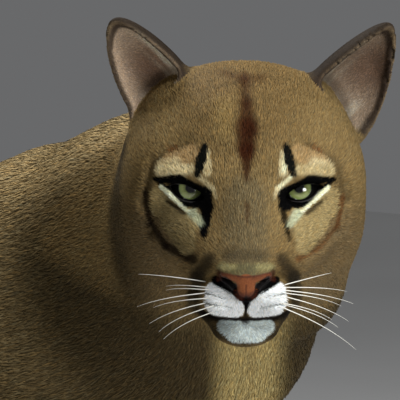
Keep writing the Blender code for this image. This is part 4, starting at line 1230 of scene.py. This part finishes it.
class Coat:
    """Tufts of hair rooted all over the skin, lying along the body."""

    FACE_PELT = Pelt(0.0045, 0.00070, 2.05, 0.20)
    HEAD_PELT = Pelt(0.0064, 0.00080, 1.9, 0.20)
    NECK_PELT = Pelt(0.0090, 0.00105, 1.6, 0.18)
    BODY_PELT = Pelt(0.0155, 0.00175, 1.4, 0.16)
    FOOT_PELT = Pelt(0.0070, 0.00150, 1.4, 0.18)
    LIMIT = 49000                   # tufts in one piece, of four facets each

    def __init__(self, skin: Skin, markings: Markings, seed: int = 11) -> None:
        """Keep the skin that the coat grows on, and seed its draws."""
        self.skin, self.markings = skin, markings
        self.animal = skin.animal
        self.rng = np.random.default_rng(seed)

    def pelt(self, points: Array, local: Array) -> dict[str, Array]:
        """Length, width, cover and lift of the tufts at each place, blended along the body."""
        away = np.linalg.norm(local - np.array([0.020, 0, -0.020]), axis=1)
        stages = ((self.HEAD_PELT, smooth(0.085, 0.15, away)), (self.NECK_PELT, smooth(0.15, 0.25, away)),
                  (self.BODY_PELT, smooth(0.36, 0.62, away)),
                  (self.FOOT_PELT, smooth(0.17, 0.05, points[:, 2])))
        result = {}
        for key in ("length", "width", "cover", "lift"):
            value = np.full(len(points), getattr(self.FACE_PELT, key))
            for pelt, share in stages:
                value = mix(value, getattr(pelt, key), share)
            result[key] = value
        folded = fold(local)
        short = np.minimum(smooth(0.018, 0.034, np.linalg.norm(folded - (-0.004, 0.040, -0.006), axis=1)),
                           smooth(0.030, 0.060, np.linalg.norm(folded - (0.068, 0.0, -0.062), axis=1)))
        result["length"] = result["length"] * mix(0.58, 1.0, short)
        result["width"] = result["width"] * mix(0.80, 1.0, short)
        ear, rim = np.zeros(len(points)), np.zeros(len(points))
        for side, cup in EARS.items():
            on_cup = smooth(0.006, 0.001, cup.distance(folded)) * (np.sign(local[:, 1]) == side)
            across, up, _ = cup.local(folded).T
            ear, rim = np.maximum(ear, on_cup), np.maximum(rim, on_cup * smooth(0.84, 0.93, cup.reach(across, up)))
        result["length"] = mix(result["length"], 0.0030, ear) * mix(1.0, 0.45, rim)
        result["width"] = mix(result["width"], 0.00062, ear)
        result["cover"] = mix(result["cover"], 1.55, ear)
        result["lift"] = mix(result["lift"], 0.08, ear)
        return result

    def flow(self, points: Array, local: Array, normals: Array) -> Array:
        """The way the hair lies at each place: backwards from the nose, down the legs, along the tail."""
        side = np.sign(local[:, 1:2])
        folded = fold(local)
        from_nose = unit(folded - np.array([0.088, 0.0, -0.036]))
        down = smooth(-0.020, -0.070, folded[:, 2])[:, None]
        face = from_nose + down * np.array([-0.1, 0.10, -0.55])
        face += smooth(-0.075, -0.095, folded[:, 2])[:, None] * np.array([-0.5, 0.0, -0.3])
        from_eye = folded - np.array([-0.010, EYE_SIDE - 0.004, -0.008])
        eye = np.exp(-(np.linalg.norm(from_eye, axis=1) / 0.026)**2)[:, None]
        face = mix(face, unit(from_eye) * 1.4 + np.array([-0.5, 0.1, 0.0]), eye)
        for sign, ear in EARS.items():
            on_ear = smooth(0.004, 0.000, ear.distance(folded)) * (side[:, 0] == sign)
            on_ear *= smooth(0.004, 0.014, ear.local(folded)[:, 1])
            face = mix(face, ear.axes()[1] + 0.25 * ear.axes()[0], on_ear[:, None])
        face[:, 1:2] *= side
        face = face @ HEAD
        neck = unit(np.array([0.30, 0.80, -0.45]))
        trunk = np.array([0.0, 1.0, -0.28]) + 0.25 * normals * (0, 0, -1)
        away = np.linalg.norm(local - np.array([-0.02, 0, -0.02]), axis=1)
        way = mix(unit(face), neck, smooth(0.11, 0.19, away)[:, None])
        way = mix(way, trunk, smooth(-0.40, -0.28, points[:, 1])[:, None])
        leg = smooth(0.50, 0.36, points[:, 2])[:, None]
        way = mix(way, np.array([0.0, 0.20, -1.0]), leg)
        foot = smooth(0.075, 0.035, points[:, 2])[:, None]
        way = mix(way, np.array([0.0, -1.0, -0.25]), foot)
        on_tail = (self.animal.tail.distance(points) < self.animal.trunk.distance(points)) & (points[:, 1] > 0.42)
        near = np.linalg.norm(points[:, None] - self.animal.path[None], axis=2).argmin(1)
        along = np.gradient(self.animal.path, axis=0)[near]
        way = np.where(on_tail[:, None], unit(along), unit(way))
        wander = np.stack([ripple(points, 90, 20 + axis) for axis in range(3)], 1)
        way = way + 0.10 * wander
        way = way - (way * normals).sum(1, keepdims=True) * normals
        return unit(way)

    def scatter(self) -> dict[str, Array]:
        """Choose roots evenly over the skin, as many as the pelt's cover asks for."""
        skin = self.skin
        corners = skin.points[skin.triangles]
        area = np.linalg.norm(np.cross(corners[:, 1] - corners[:, 0], corners[:, 2] - corners[:, 0]), axis=1) / 2
        middles = corners.mean(1)
        local = (middles - EYES_AT) @ HEAD.T
        pelt = self.pelt(middles, local)
        each = 0.55 * pelt["length"] * pelt["width"] / pelt["cover"]
        normal = skin.normals[skin.triangles].mean(1)
        hidden = (middles[:, 2] < 0.004) & (normal[:, 2] < -0.6)
        socket = np.linalg.norm(fold(local) - (-EYE_DEEP, EYE_SIDE, -EYE_LOW), axis=1) < EYE_RADIUS + 0.0012
        wanted = area / each * ~hidden * ~socket
        total = np.cumsum(wanted)
        count = int(total[-1])
        marks = (np.arange(count) + self.rng.random(count)) * total[-1] / count
        chosen = np.minimum(np.searchsorted(total, marks), len(total) - 1)
        u, v = self.rng.random(count), self.rng.random(count)
        fold_over = u + v > 1
        u, v = np.where(fold_over, 1 - u, u), np.where(fold_over, 1 - v, v)
        weights = np.stack([1 - u - v, u, v], 1)[:, :, None]
        roots = (corners[chosen] * weights).sum(1)
        normals = unit((skin.normals[skin.triangles[chosen]] * weights).sum(1))
        return {"roots": roots, "normals": normals}

    def grow(self, grain: HairGrain) -> None:
        """Scatter the roots, shape every tuft and make the pieces."""
        spots = self.scatter()
        roots, normals = spots["roots"], spots["normals"]
        local = (roots - EYES_AT) @ HEAD.T
        keep = self.markings.bare(local) < 0.35
        roots, normals, local = roots[keep], normals[keep], local[keep]
        pelt = self.pelt(roots, local)
        count = len(roots)
        length = pelt["length"] * self.rng.uniform(0.7, 1.25, count)
        width = pelt["width"] * self.rng.uniform(0.8, 1.25, count)
        lift = pelt["lift"] * self.rng.uniform(0.6, 1.4, count)
        way = self.flow(roots, local, normals)
        across = np.cross(normals, way)
        turn = self.rng.normal(0, 0.13, count)[:, None]
        way, across = unit(way + turn * across), unit(across - turn * way)
        colour = self.markings.colour(roots, normals)
        tone = np.exp(self.rng.normal(0, 0.18, count))[:, None]
        warm = self.rng.normal(0, 0.05, (count, 1)) * np.array([1.0, 0.2, -1.0])
        colour = np.clip(colour * tone * (1 + warm), 0.002, 0.95)
        log.info("coat: %d tufts", count)
        pieces = self.share_out(roots, local)
        finish = CoatFinish("coat").build(grain)
        fine = CoatFinish("fine coat", 1600.0, 0.30).build(grain)
        for name, chosen, centre, axes in pieces:
            shape = {"roots": roots[chosen], "normals": normals[chosen], "way": way[chosen],
                     "across": across[chosen], "length": length[chosen], "width": width[chosen],
                     "lift": lift[chosen], "colour": colour[chosen]}
            near = (roots[chosen] - centre) @ axes.T
            self.piece(name, shape, near, fine if "face" in name else finish)

    def share_out(self, roots: Array, local: Array) -> list[tuple]:
        """Divide the tufts among pieces by where they root, each piece under its limit.

        Returns:
            For each piece its name, the numbers of its tufts, and the middle and axes of its
            unwrap: the third axis runs along the part.
        """
        animal = self.animal
        distances = np.stack([g.distance(roots) for g in animal.groups], 1)
        nearest = distances.argmin(1)
        upright = np.eye(3)
        lengthwise = np.array([[1.0, 0, 0], [0, 0, 1.0], [0, 1.0, 0]])
        head_way = np.stack([HEAD[1], HEAD[2], HEAD[0]])
        kinds = ["trunk", "neck", "foreleg_left", "foreleg_right", "hindleg_left", "hindleg_right", "tail", "head"]
        middles = {"trunk": (0, 0, 0.52), "neck": (-0.03, -0.43, 0.60), "tail": (0.06, 0.62, 0.30),
                   "head": tuple(EYES_AT + np.array([-0.05, 0, -0.02]) @ HEAD)}
        pieces = []
        for number, kind in enumerate(kinds):
            chosen = np.flatnonzero(nearest == number)
            if kind == "head":
                folded = fold(local[chosen])
                left = local[chosen, 1] > 0
                ears = [(EARS[side].distance(folded) < 0.003) & (left == (side > 0)) & (
                    EARS[side].local(folded)[:, 1] > -0.006) for side in (1, -1)]
                front = local[chosen, 0] > -0.035
                rest = ~ears[0] & ~ears[1]
                groups = [("coat_ear_left", chosen[ears[0]]), ("coat_ear_right", chosen[ears[1]]),
                          ("coat_face", chosen[front & rest]), ("coat_crown", chosen[~front & rest])]
                key, axes = local[:, 1], head_way
            else:
                groups = [(f"coat_{kind}", chosen)]
                key, axes = roots[:, 1], upright if "leg" in kind else lengthwise
            for name, members in groups:
                middle = np.array(middles[kind]) if kind in middles else roots[members].mean(0)
                members = members[np.argsort(key[members], kind="stable")]
                parts = np.array_split(members, len(members) // self.LIMIT + 1)
                for index, part in enumerate(parts):
                    label = name if len(parts) == 1 else f"{name}_{index + 1}"
                    pieces.append((label, part, middle, axes))
        return pieces

    @staticmethod
    def unwrap(near: Array) -> Array:
        """Where each root lies on a wrap round the part: angle about its length, and slant along it."""
        angle = np.arctan2(near[:, 1], near[:, 0]) / (2 * pi) + 0.5
        slant = np.arctan2(near[:, 2], np.hypot(near[:, 0], near[:, 1])) / pi + 0.5
        return np.stack([0.01 + 0.975 * angle, 0.01 + 0.975 * slant], 1)

    def piece(self, name: str, shape: dict, near: Array, finish: bpy.types.Material) -> None:
        """Make one piece of coat: each tuft is a thin closed blade of four points and four facets.

        A tuft starts just under the skin, swells to its width at two fifths of its length,
        where it stands off the skin, and runs to a point that bends back down.
        """
        root, normal, way, across = (shape[key] for key in ("roots", "normals", "way", "across"))
        length, width, lift = (shape[key][:, None] for key in ("length", "width", "lift"))
        rise = length * lift
        middle = root + way * length * 0.40 + normal * rise * 0.62
        tip = root + way * length + normal * rise * 0.85
        left, right = middle + across * width / 2, middle - across * width / 2
        points = np.stack([root - normal * 0.0005, left, right, tip], 1).reshape(-1, 3)
        points[:, 2] = np.maximum(points[:, 2], 0.0006)
        base = np.array([(0, 2, 1), (3, 1, 2), (0, 1, 3), (0, 3, 2)])
        count = len(root)
        faces = (np.arange(count)[:, None, None] * 4 + base[None]).reshape(-1, 3)
        thing = new_mesh(name, points + self.skin.place, faces)
        mesh = thing.data
        aside = mix(0.50, 0.26, smooth(0.008, 0.014, length)) * across
        lean = np.stack([normal, normal + aside, normal - aside, normal + 0.35 * way], 1)
        mesh.normals_split_custom_set_from_vertices(unit(lean).reshape(-1, 3).astype(np.float32))
        tones = np.array([0.66, 1.0, 1.0, 1.2])
        colour = np.ones((count, 4, 4), np.float32)
        colour[:, :, :3] = np.clip(shape["colour"][:, None] * tones[None, :, None], 0, 0.96)
        mesh.attributes.new("hair colour", "FLOAT_COLOR", "POINT").data.foreach_set("color", colour.ravel())
        patch = np.array([(0.5, 0.0), (0.0, 0.4), (1.0, 0.4), (0.5, 1.0)]) * 0.003
        flat = self.unwrap(near)[:, None] + patch[None]
        wrap = mesh.uv_layers.new(name="OFBake")
        wrap.data.foreach_set("uv", flat[:, base].astype(np.float32).ravel())
        mesh.materials.append(finish)
        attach(thing, "root")
        log.info("%s: %d tufts", name, count)


def sweep(path: Array, radii: Array, sides: int = 6) -> tuple[Array, Array]:
    """A closed round rod along a path: rings square to it, with a point at each end.

    Args:
        path: places along the rod.
        radii: its radius at each place.
        sides: how many sides it has.

    Returns:
        Places and triangles.
    """
    along = unit(np.gradient(path, axis=0))
    aside = unit(np.cross(along, unit([0.3, 0.2, 0.93])))
    over = np.cross(along, aside)
    angle = np.arange(sides) * 2 * pi / sides
    rings = path[:, None] + radii[:, None, None] * (
        np.cos(angle)[None, :, None] * aside[:, None] + np.sin(angle)[None, :, None] * over[:, None])
    points = np.concatenate([rings.reshape(-1, 3), path[:1] - along[:1] * radii[0], path[-1:] + along[-1:] * radii[-1]])
    row, col = np.meshgrid(np.arange(len(path) - 1), np.arange(sides), indexing="ij")
    a, b = row * sides + col, row * sides + (col + 1) % sides
    c, d = a + sides, b + sides
    walls = np.concatenate([np.stack([a, b, d], -1).reshape(-1, 3), np.stack([a, d, c], -1).reshape(-1, 3)])
    start, end = len(points) - 2, len(points) - 1
    step = np.arange(sides)
    after, last = (step + 1) % sides, (len(path) - 1) * sides
    ends = [np.stack([np.full(sides, start), after, step], 1), np.stack([np.full(sides, end), last + step, last + after], 1)]
    return points, np.concatenate([walls, *ends])


def join_parts(parts: list[tuple[Array, Array]]) -> tuple[Array, Array]:
    """Several meshes as one, their face numbers shifted in turn."""
    shifts = np.cumsum([0] + [len(points) for points, _ in parts[:-1]])
    return (np.concatenate([points for points, _ in parts]),
            np.concatenate([faces + shift for (_, faces), shift in zip(parts, shifts)]))


def turned_form(profile: Array, axes: Array, centre: Array, steps: int = 48) -> tuple[Array, Array, Array]:
    """A profile of (along, radius) turned about the first axis: rings of points, in quads.

    Args:
        profile: rows of the distance along the axis and the radius there.
        axes: rows: the axis and two directions square to it.
        centre: where the axis starts.
        steps: how many steps make the turn.

    Returns:
        Places, quads, and each place's share round and along.
    """
    angle = np.arange(steps) * 2 * pi / steps
    along, radius = profile[:, 0], profile[:, 1]
    ring = np.cos(angle)[:, None] * axes[1] + np.sin(angle)[:, None] * axes[2]
    points = centre + along[:, None, None] * axes[0] + radius[:, None, None] * ring[None]
    row, col = np.meshgrid(np.arange(len(profile) - 1), np.arange(steps), indexing="ij")
    a, b = row * steps + col, row * steps + (col + 1) % steps
    quads = np.stack([a, a + steps, b + steps, b], -1).reshape(-1, 4)
    share = np.stack(np.meshgrid(np.linspace(0, 1, len(profile)), np.arange(steps) / steps, indexing="ij"), -1)
    return points.reshape(-1, 3), quads, share.reshape(-1, 2)


@dataclass
class Eye:
    """An eye: a dark white, a streaked iris set under a clear front, and a round pupil."""

    side: int
    place: Array
    limbus: float = 0.0088
    pupil: float = 0.0036

    def __post_init__(self) -> None:
        """Work out the eye's middle and the way it looks, towards the viewer."""
        flip = np.array([1, self.side, 1])
        self.word = "left" if self.side > 0 else "right"
        self.centre = EYES_AT + (np.array([-EYE_DEEP, EYE_SIDE, -EYE_LOW]) * flip) @ HEAD + self.place
        look = radians(4)
        local = np.array([cos(FACE_TILT + look), 0.0, sin(FACE_TILT + look)])
        out = local @ HEAD
        side = HEAD[1]
        self.axes = np.array([out, side, np.cross(out, side)])

    def add(self, name: str, profile: Array, material: bpy.types.Material, uv: bool = False) -> bpy.types.Object:
        """Turn a profile about the line of sight and hang the piece on the animal."""
        points, quads, share = turned_form(profile, self.axes, self.centre)
        thing = new_mesh(f"{name}_{self.word}", points, quads)
        bm = bmesh.new()
        bm.from_mesh(thing.data)
        bmesh.ops.remove_doubles(bm, verts=bm.verts, dist=1e-6)
        bmesh.ops.dissolve_degenerate(bm, edges=bm.edges, dist=1e-7)
        bmesh.ops.recalc_face_normals(bm, faces=bm.faces)
        if uv:
            layer = bm.loops.layers.uv.new("rings")
            for face in bm.faces:
                for loop in face.loops:
                    local = (np.array(loop.vert.co) - self.centre) @ self.axes.T
                    loop[layer].uv = (local[1] / self.limbus, local[2] / self.limbus)
        bm.to_mesh(thing.data)
        bm.free()
        thing.data.shade_smooth()
        thing.data.materials.append(material)
        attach(thing, "root")
        return thing

    def build(self, finishes: dict[str, bpy.types.Material]) -> None:
        """Make the ball, iris, pupil and clear front."""
        radius, edge = EYE_RADIUS, self.limbus
        rim = (radius**2 - edge**2) ** 0.5
        angle = np.linspace(np.arcsin(edge / radius), pi, 22)
        back = np.stack([radius * np.cos(angle), radius * np.sin(angle)], 1)
        inner = np.array([[rim - 0.0040, 0.0001], [rim - 0.0040, edge - 0.0012], [rim - 0.0016, edge - 0.0004]])
        ball = self.add("eyeball", np.concatenate([inner, back]), finishes["white"])
        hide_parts(f"eye_{self.word}")
        share = np.linspace(0, 1, 14)
        face = np.stack([rim - 0.0005 - 0.0011 * (1 - share)**2 * 0.6, mix(self.pupil, edge - 0.00005, share)], 1)
        under = np.array([[rim - 0.0030, edge - 0.0010], [rim - 0.0030, self.pupil]])
        self.add("iris", np.concatenate([face, under, face[:1]]), finishes["iris"], True)
        angle = np.linspace(0, 1, 14)
        dome = np.stack([rim + 0.0008 + 0.0029 * (1 - angle**2), angle * (edge + 0.0002)], 1)
        inside = np.stack([dome[::-1, 0] - 0.0004, dome[::-1, 1] * 0.985], 1)
        self.add("cornea", np.concatenate([dome, inside]), finishes["clear"])


class EyeFinishes:
    """The eye's materials: dark white, streaked iris and clear front."""

    def build(self) -> dict[str, bpy.types.Material]:
        """Each of the materials by name."""
        white, _ = blank_material("eye white", Base_Color=(0.002, 0.002, 0.002, 1), Roughness=0.50,
                                  Specular_IOR_Level=0.02)
        clear, _ = blank_material("eye front", Base_Color=(0.0, 0.0, 0.0, 1), Roughness=0.07, IOR=2.4,
                                  Specular_IOR_Level=0.5, Alpha=0.28)
        return {"white": white, "iris": self.iris(), "clear": clear}

    @staticmethod
    def iris() -> bpy.types.Material:
        """Pale green with fine streaks out from the pupil and dark edges."""
        material, shader = blank_material("iris", Roughness=0.35)
        nodes, links = material.node_tree.nodes, material.node_tree.links
        wrap = nodes.new("ShaderNodeUVMap")
        wrap.uv_map = "rings"
        polar = nodes.new("ShaderNodeVectorMath")
        polar.operation = "NORMALIZE"
        reach = nodes.new("ShaderNodeVectorMath")
        reach.operation = "LENGTH"
        streak = nodes.new("ShaderNodeTexNoise")
        streak.inputs["Scale"].default_value = 26.0
        streak.inputs["Detail"].default_value = 4.0
        rings = nodes.new("ShaderNodeValToRGB")
        ramp = rings.color_ramp
        stops = ((0.40, (30, 32, 18)), (0.47, (176, 192, 96)), (0.70, (240, 255, 150)),
                 (0.90, (212, 236, 132)), (1.0, (40, 46, 28)))
        ramp.elements[0].position, ramp.elements[1].position = stops[0][0], stops[-1][0]
        ramp.elements[0].color = (*linear(stops[0][1]), 1)
        ramp.elements[1].color = (*linear(stops[-1][1]), 1)
        for place, tone in stops[1:-1]:
            ramp.elements.new(place).color = (*linear(tone), 1)
        shade = nodes.new("ShaderNodeMapRange")
        shade.inputs["From Min"].default_value, shade.inputs["From Max"].default_value = 0.3, 0.7
        shade.inputs["To Min"].default_value, shade.inputs["To Max"].default_value = 0.62, 1.25
        tint = nodes.new("ShaderNodeVectorMath")
        tint.operation = "SCALE"
        links.new(wrap.outputs["UV"], polar.inputs[0])
        links.new(wrap.outputs["UV"], reach.inputs[0])
        links.new(polar.outputs["Vector"], streak.inputs["Vector"])
        links.new(reach.outputs["Value"], rings.inputs["Fac"])
        links.new(streak.outputs["Fac"], shade.inputs["Value"])
        links.new(rings.outputs["Color"], tint.inputs[0])
        links.new(shade.outputs["Result"], tint.inputs["Scale"])
        links.new(tint.outputs[0], shader.inputs["Base Color"])
        return material


@dataclass
class LidRims:
    """The dark bare edge of each pair of lids, a thin roll round the opening."""

    place: Array
    radius: float = 0.00115
    steps: int = 72

    def build(self) -> None:
        """Carry a round section along the almond, on a ball just outside the eyeball."""
        share = np.arange(self.steps) / self.steps
        along, up = LIDS.edge(share)
        reach = EYE_RADIUS + 0.0007
        out = np.sqrt(np.maximum(reach**2 - along**2 - up**2, 1e-6))
        local = np.stack([out, along, up], 1) @ LIDS.axes() + np.array([-EYE_DEEP, EYE_SIDE, -EYE_LOW])
        material, _ = blank_material("lid rim", Base_Color=(0.010, 0.008, 0.007, 1), Roughness=0.30)
        for side, word in ((1, "left"), (-1, "right")):
            path = (local * (1, side, 1)) @ HEAD + EYES_AT + self.place
            points, faces = self.ring(path)
            rim = new_mesh(f"lid_rim_{word}", points, faces)
            rim.data.materials.append(material)
            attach(rim, "root")

    def ring(self, path: Array, sides: int = 8) -> tuple[Array, Array]:
        """A closed loop of rings round the path."""
        along = unit(np.roll(path, -1, 0) - np.roll(path, 1, 0))
        outward = unit(path - path.mean(0))
        over = unit(np.cross(along, outward))
        outward = np.cross(over, along)
        angle = np.arange(sides) * 2 * pi / sides
        rings = path[:, None] + self.radius * (
            np.cos(angle)[None, :, None] * outward[:, None] + np.sin(angle)[None, :, None] * over[:, None])
        row, col = np.meshgrid(np.arange(len(path)), np.arange(sides), indexing="ij")
        after = (row + 1) % len(path)
        a, b = row * sides + col, row * sides + (col + 1) % sides
        c, d = after * sides + col, after * sides + (col + 1) % sides
        return rings.reshape(-1, 3), np.stack([a, b, d, c], -1).reshape(-1, 4)


@dataclass
class Whiskers:
    """Stiff pale whiskers from the rows on each pad."""

    animal: Animal
    place: Array
    radius: float = 0.00042
    # Root and tip in the plane the face shows, in millimetres, then how far back the tip lies
    right: tuple = (
        ((28, -67.5), (63, -60), 42), ((28.5, -69.5), (74, -73.5), 44), ((28.5, -71.5), (79, -82.5), 46),
        ((28.5, -73.5), (70, -84), 44), ((28.5, -76), (75, -95), 42), ((27, -81.5), (67.5, -99.5), 40),
        ((26, -83.5), (80, -115), 38), ((24, -80), (62, -93), 26))
    left: tuple = (
        ((-27.5, -65.5), (-77, -61), 42), ((-28, -69.2), (-57, -69.8), 46), ((-28, -71), (-57, -72.6), 46),
        ((-28, -73.2), (-78, -84.5), 44), ((-28, -77), (-66, -85), 42), ((-27, -80), (-69, -96.5), 38),
        ((-25, -83), (-62, -102), 34), ((-21, -86), (-58.5, -107), 26))

    def strand(self, start: tuple, end: tuple, back: float) -> tuple[Array, Array]:
        """One whisker: from the pad outwards, bowing forward and down a little, to a fine tip."""
        root = self.on_skin(start)
        side, rise = np.array(end) / 1000
        rise_way = np.array([-sin(FACE_TILT), 0, cos(FACE_TILT)])
        ahead_way = np.array([cos(FACE_TILT), 0, sin(FACE_TILT)])
        depth = root @ ahead_way - back / 1000
        tip = np.array([0, side, 0]) + rise * rise_way + depth * ahead_way
        share = np.linspace(0, 1, 14)[:, None]
        out = unit(np.array([0.55, np.sign(side) * 0.5, -0.1]))
        bow = 4 * share * (1 - share)
        path = root + (tip - root) * share + out * bow * 0.005 + rise_way * bow * 0.0035
        path = path - unit(tip - root) * 0.003 * (share == 0)
        radii = self.radius * (1 - 0.8 * share[:, 0])
        return sweep(path @ HEAD + EYES_AT + self.place, radii, 5)

    def on_skin(self, start: tuple) -> Array:
        """The place on the skin under a spot of the face, found by stepping back along the view."""
        rise_way = np.array([-sin(FACE_TILT), 0, cos(FACE_TILT)])
        ahead_way = np.array([cos(FACE_TILT), 0, sin(FACE_TILT)])
        spot = np.array([0, start[0] / 1000, 0]) + start[1] / 1000 * rise_way
        steps = np.linspace(0.12, -0.06, 400)[:, None]
        points = spot + steps * ahead_way
        inside = self.animal.skin(points) < 0
        return points[np.argmax(inside)] if inside.any() else points[-1]

    def build(self) -> None:
        """Make the whiskers as one piece."""
        rows = [self.strand(*row) for row in self.right + self.left]
        points, faces = join_parts(rows)
        thing = new_mesh("whiskers", points, faces)
        material, _ = blank_material("whisker", Base_Color=(0.86, 0.84, 0.76, 1), Roughness=0.35)
        thing.data.materials.append(material)
        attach(thing, "root")
        log.info("whiskers: %d", len(rows))


@dataclass
class Claws:
    """The hooked tip of a claw between the hairs of each toe."""

    animal: Animal
    place: Array
    length: float = 0.0125
    thick: float = 0.0026

    def build(self) -> None:
        """Carry a tapering section along a curve from each toe's front down to the floor."""
        parts = []
        turn = np.linspace(0, 1.25, 9)
        for side in (1, -1):
            fore = (0.084 * side, -0.303 + FORE_SWING[side] - 0.022)
            hind = (0.086 * side, 0.362 + HIND_SWING[side] - 0.030)
            for at, half, reach in ((fore, 0.0500, 0.0265), (hind, 0.0455, 0.0240)):
                for toe in self.animal.toes(at, half):
                    start = np.array(toe) + (0, -reach + 0.0015, -0.003)
                    path = start + self.length * np.stack(
                        [0 * turn, -np.sin(turn) * 0.62, -(1 - np.cos(turn)) * 0.9], 1)
                    parts.append(sweep(path + self.place, self.thick * (1.02 - turn / 1.25) ** 0.8, 8))
        points, faces = join_parts(parts)
        thing = new_mesh("claws", points, faces)
        material, shader = blank_material("claw", Roughness=0.32)
        nodes, links = material.node_tree.nodes, material.node_tree.links
        place, noise = nodes.new("ShaderNodeTexCoord"), nodes.new("ShaderNodeTexNoise")
        noise.inputs["Scale"].default_value = 420.0
        tone = nodes.new("ShaderNodeValToRGB")
        tone.color_ramp.elements[0].color = (0.055, 0.042, 0.032, 1)
        tone.color_ramp.elements[1].color = (0.26, 0.21, 0.16, 1)
        links.new(place.outputs["Object"], noise.inputs["Vector"])
        links.new(noise.outputs["Fac"], tone.inputs["Fac"])
        links.new(tone.outputs["Color"], shader.inputs["Base Color"])
        thing.data.materials.append(material)
        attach(thing, "root")


@dataclass
class Studio:
    """A pale floor, soft light, mostly from the viewer's right, and the picture's camera."""

    place: Array
    distance: float = 2.2
    pixel: float = 0.00072
    picture: int = 400
    eyes_at: tuple = (245, 190)
    lights: tuple = field(default=(
        # name, along the view, right, up (metres from the head), size, watts
        ("key", 1.00, 0.62, 1.00, 0.70, 25.2),
        ("top", -0.80, -0.60, 1.25, 1.00, 30.0),
        ("catch", 1.45, 0.94, -0.14, 0.60, 12.5),
    ))

    def build(self) -> None:
        """Set floor, world, lights and camera."""
        bearing = -HEAD_TURN
        back = np.array([sin(bearing) * cos(VIEW_DOWN), -cos(bearing) * cos(VIEW_DOWN), sin(VIEW_DOWN)])
        right = np.array([cos(bearing), sin(bearing), 0.0])
        up = np.cross(right, -back)
        eyes = EYES_AT + self.place
        half = self.picture / 2
        target = eyes - right * (self.eyes_at[0] - half) * self.pixel + up * (self.eyes_at[1] - half) * self.pixel
        self.floor()
        world = bpy.data.worlds.new("studio")
        world.use_nodes = True
        world.node_tree.nodes["Background"].inputs["Color"].default_value = (0.93, 0.94, 0.96, 1)
        world.node_tree.nodes["Background"].inputs["Strength"].default_value = 0.15
        bpy.context.scene.world = world
        bpy.context.scene.view_settings.view_transform = "Standard"
        for name, along, across, over, size, watts in self.lights:
            lamp = bpy.data.lights.new(name, "AREA")
            lamp.energy, lamp.size, lamp.shape = watts, size, "DISK"
            thing = bpy.data.objects.new(name, lamp)
            bpy.context.scene.collection.objects.link(thing)
            thing.location = eyes + back * along + right * across + up * over
            thing.rotation_euler = (Vector(eyes) - thing.location).to_track_quat("-Z", "Y").to_euler()
        camera = bpy.data.cameras.new("camera")
        camera.sensor_width = 36.0
        camera.lens = camera.sensor_width * self.distance / (self.picture * self.pixel)
        camera.clip_start = 0.1
        stand = bpy.data.objects.new("camera", camera)
        bpy.context.scene.collection.objects.link(stand)
        stand.location = target + back * self.distance
        stand.rotation_euler = Vector(-back).to_track_quat("-Z", "Y").to_euler()
        bpy.context.scene.camera = stand

    @staticmethod
    def floor() -> None:
        """A wide pale floor, very faintly mottled."""
        grid = np.linspace(-4, 4, 9)
        x, y = np.meshgrid(grid, grid, indexing="ij")
        points = np.stack([x, y, np.zeros_like(x)], -1).reshape(-1, 3)
        row, col = np.meshgrid(np.arange(8), np.arange(8), indexing="ij")
        a = row * 9 + col
        floor = new_mesh("floor", points, np.stack([a, a + 9, a + 10, a + 1], -1).reshape(-1, 4))
        material, shader = blank_material("floor", Roughness=0.8)
        nodes, links = material.node_tree.nodes, material.node_tree.links
        place, noise = nodes.new("ShaderNodeTexCoord"), nodes.new("ShaderNodeTexNoise")
        noise.inputs["Scale"].default_value = 3.0
        tone = nodes.new("ShaderNodeValToRGB")
        tone.color_ramp.elements[0].color = (0.70, 0.70, 0.69, 1)
        tone.color_ramp.elements[1].color = (0.78, 0.78, 0.77, 1)
        links.new(place.outputs["Object"], noise.inputs["Vector"])
        links.new(noise.outputs["Fac"], tone.inputs["Fac"])
        links.new(tone.outputs["Color"], shader.inputs["Base Color"])
        floor.data.materials.append(material)


def placement() -> Array:
    """How far the solids were shifted on the floor: the left eye's box against the eye's middle."""
    low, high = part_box("eye_left")
    middle = EYES_AT + np.array([-EYE_DEEP, EYE_SIDE, -EYE_LOW]) @ HEAD
    shift = (np.array(low) + np.array(high)) / 2 - middle
    return shift * np.array([1.0, 1.0, 0.0])


def main() -> None:
    """Build the animal's pieces in order and set the studio."""
    logging.basicConfig(level=logging.INFO, format="%(name)s: %(message)s")
    place = placement()
    animal = Animal()
    markings = Markings(animal)
    grain = HairGrain()
    skin = Skin(animal, markings, place)
    skin.build(grain)
    Coat(skin, markings).grow(grain)
    finishes = EyeFinishes().build()
    for side in (1, -1):
        Eye(side, place).build(finishes)
    LidRims(place).build()
    Whiskers(animal, place).build()
    Claws(animal, place).build()
    Studio(place).build()


if __name__ == "__main__":
    main()
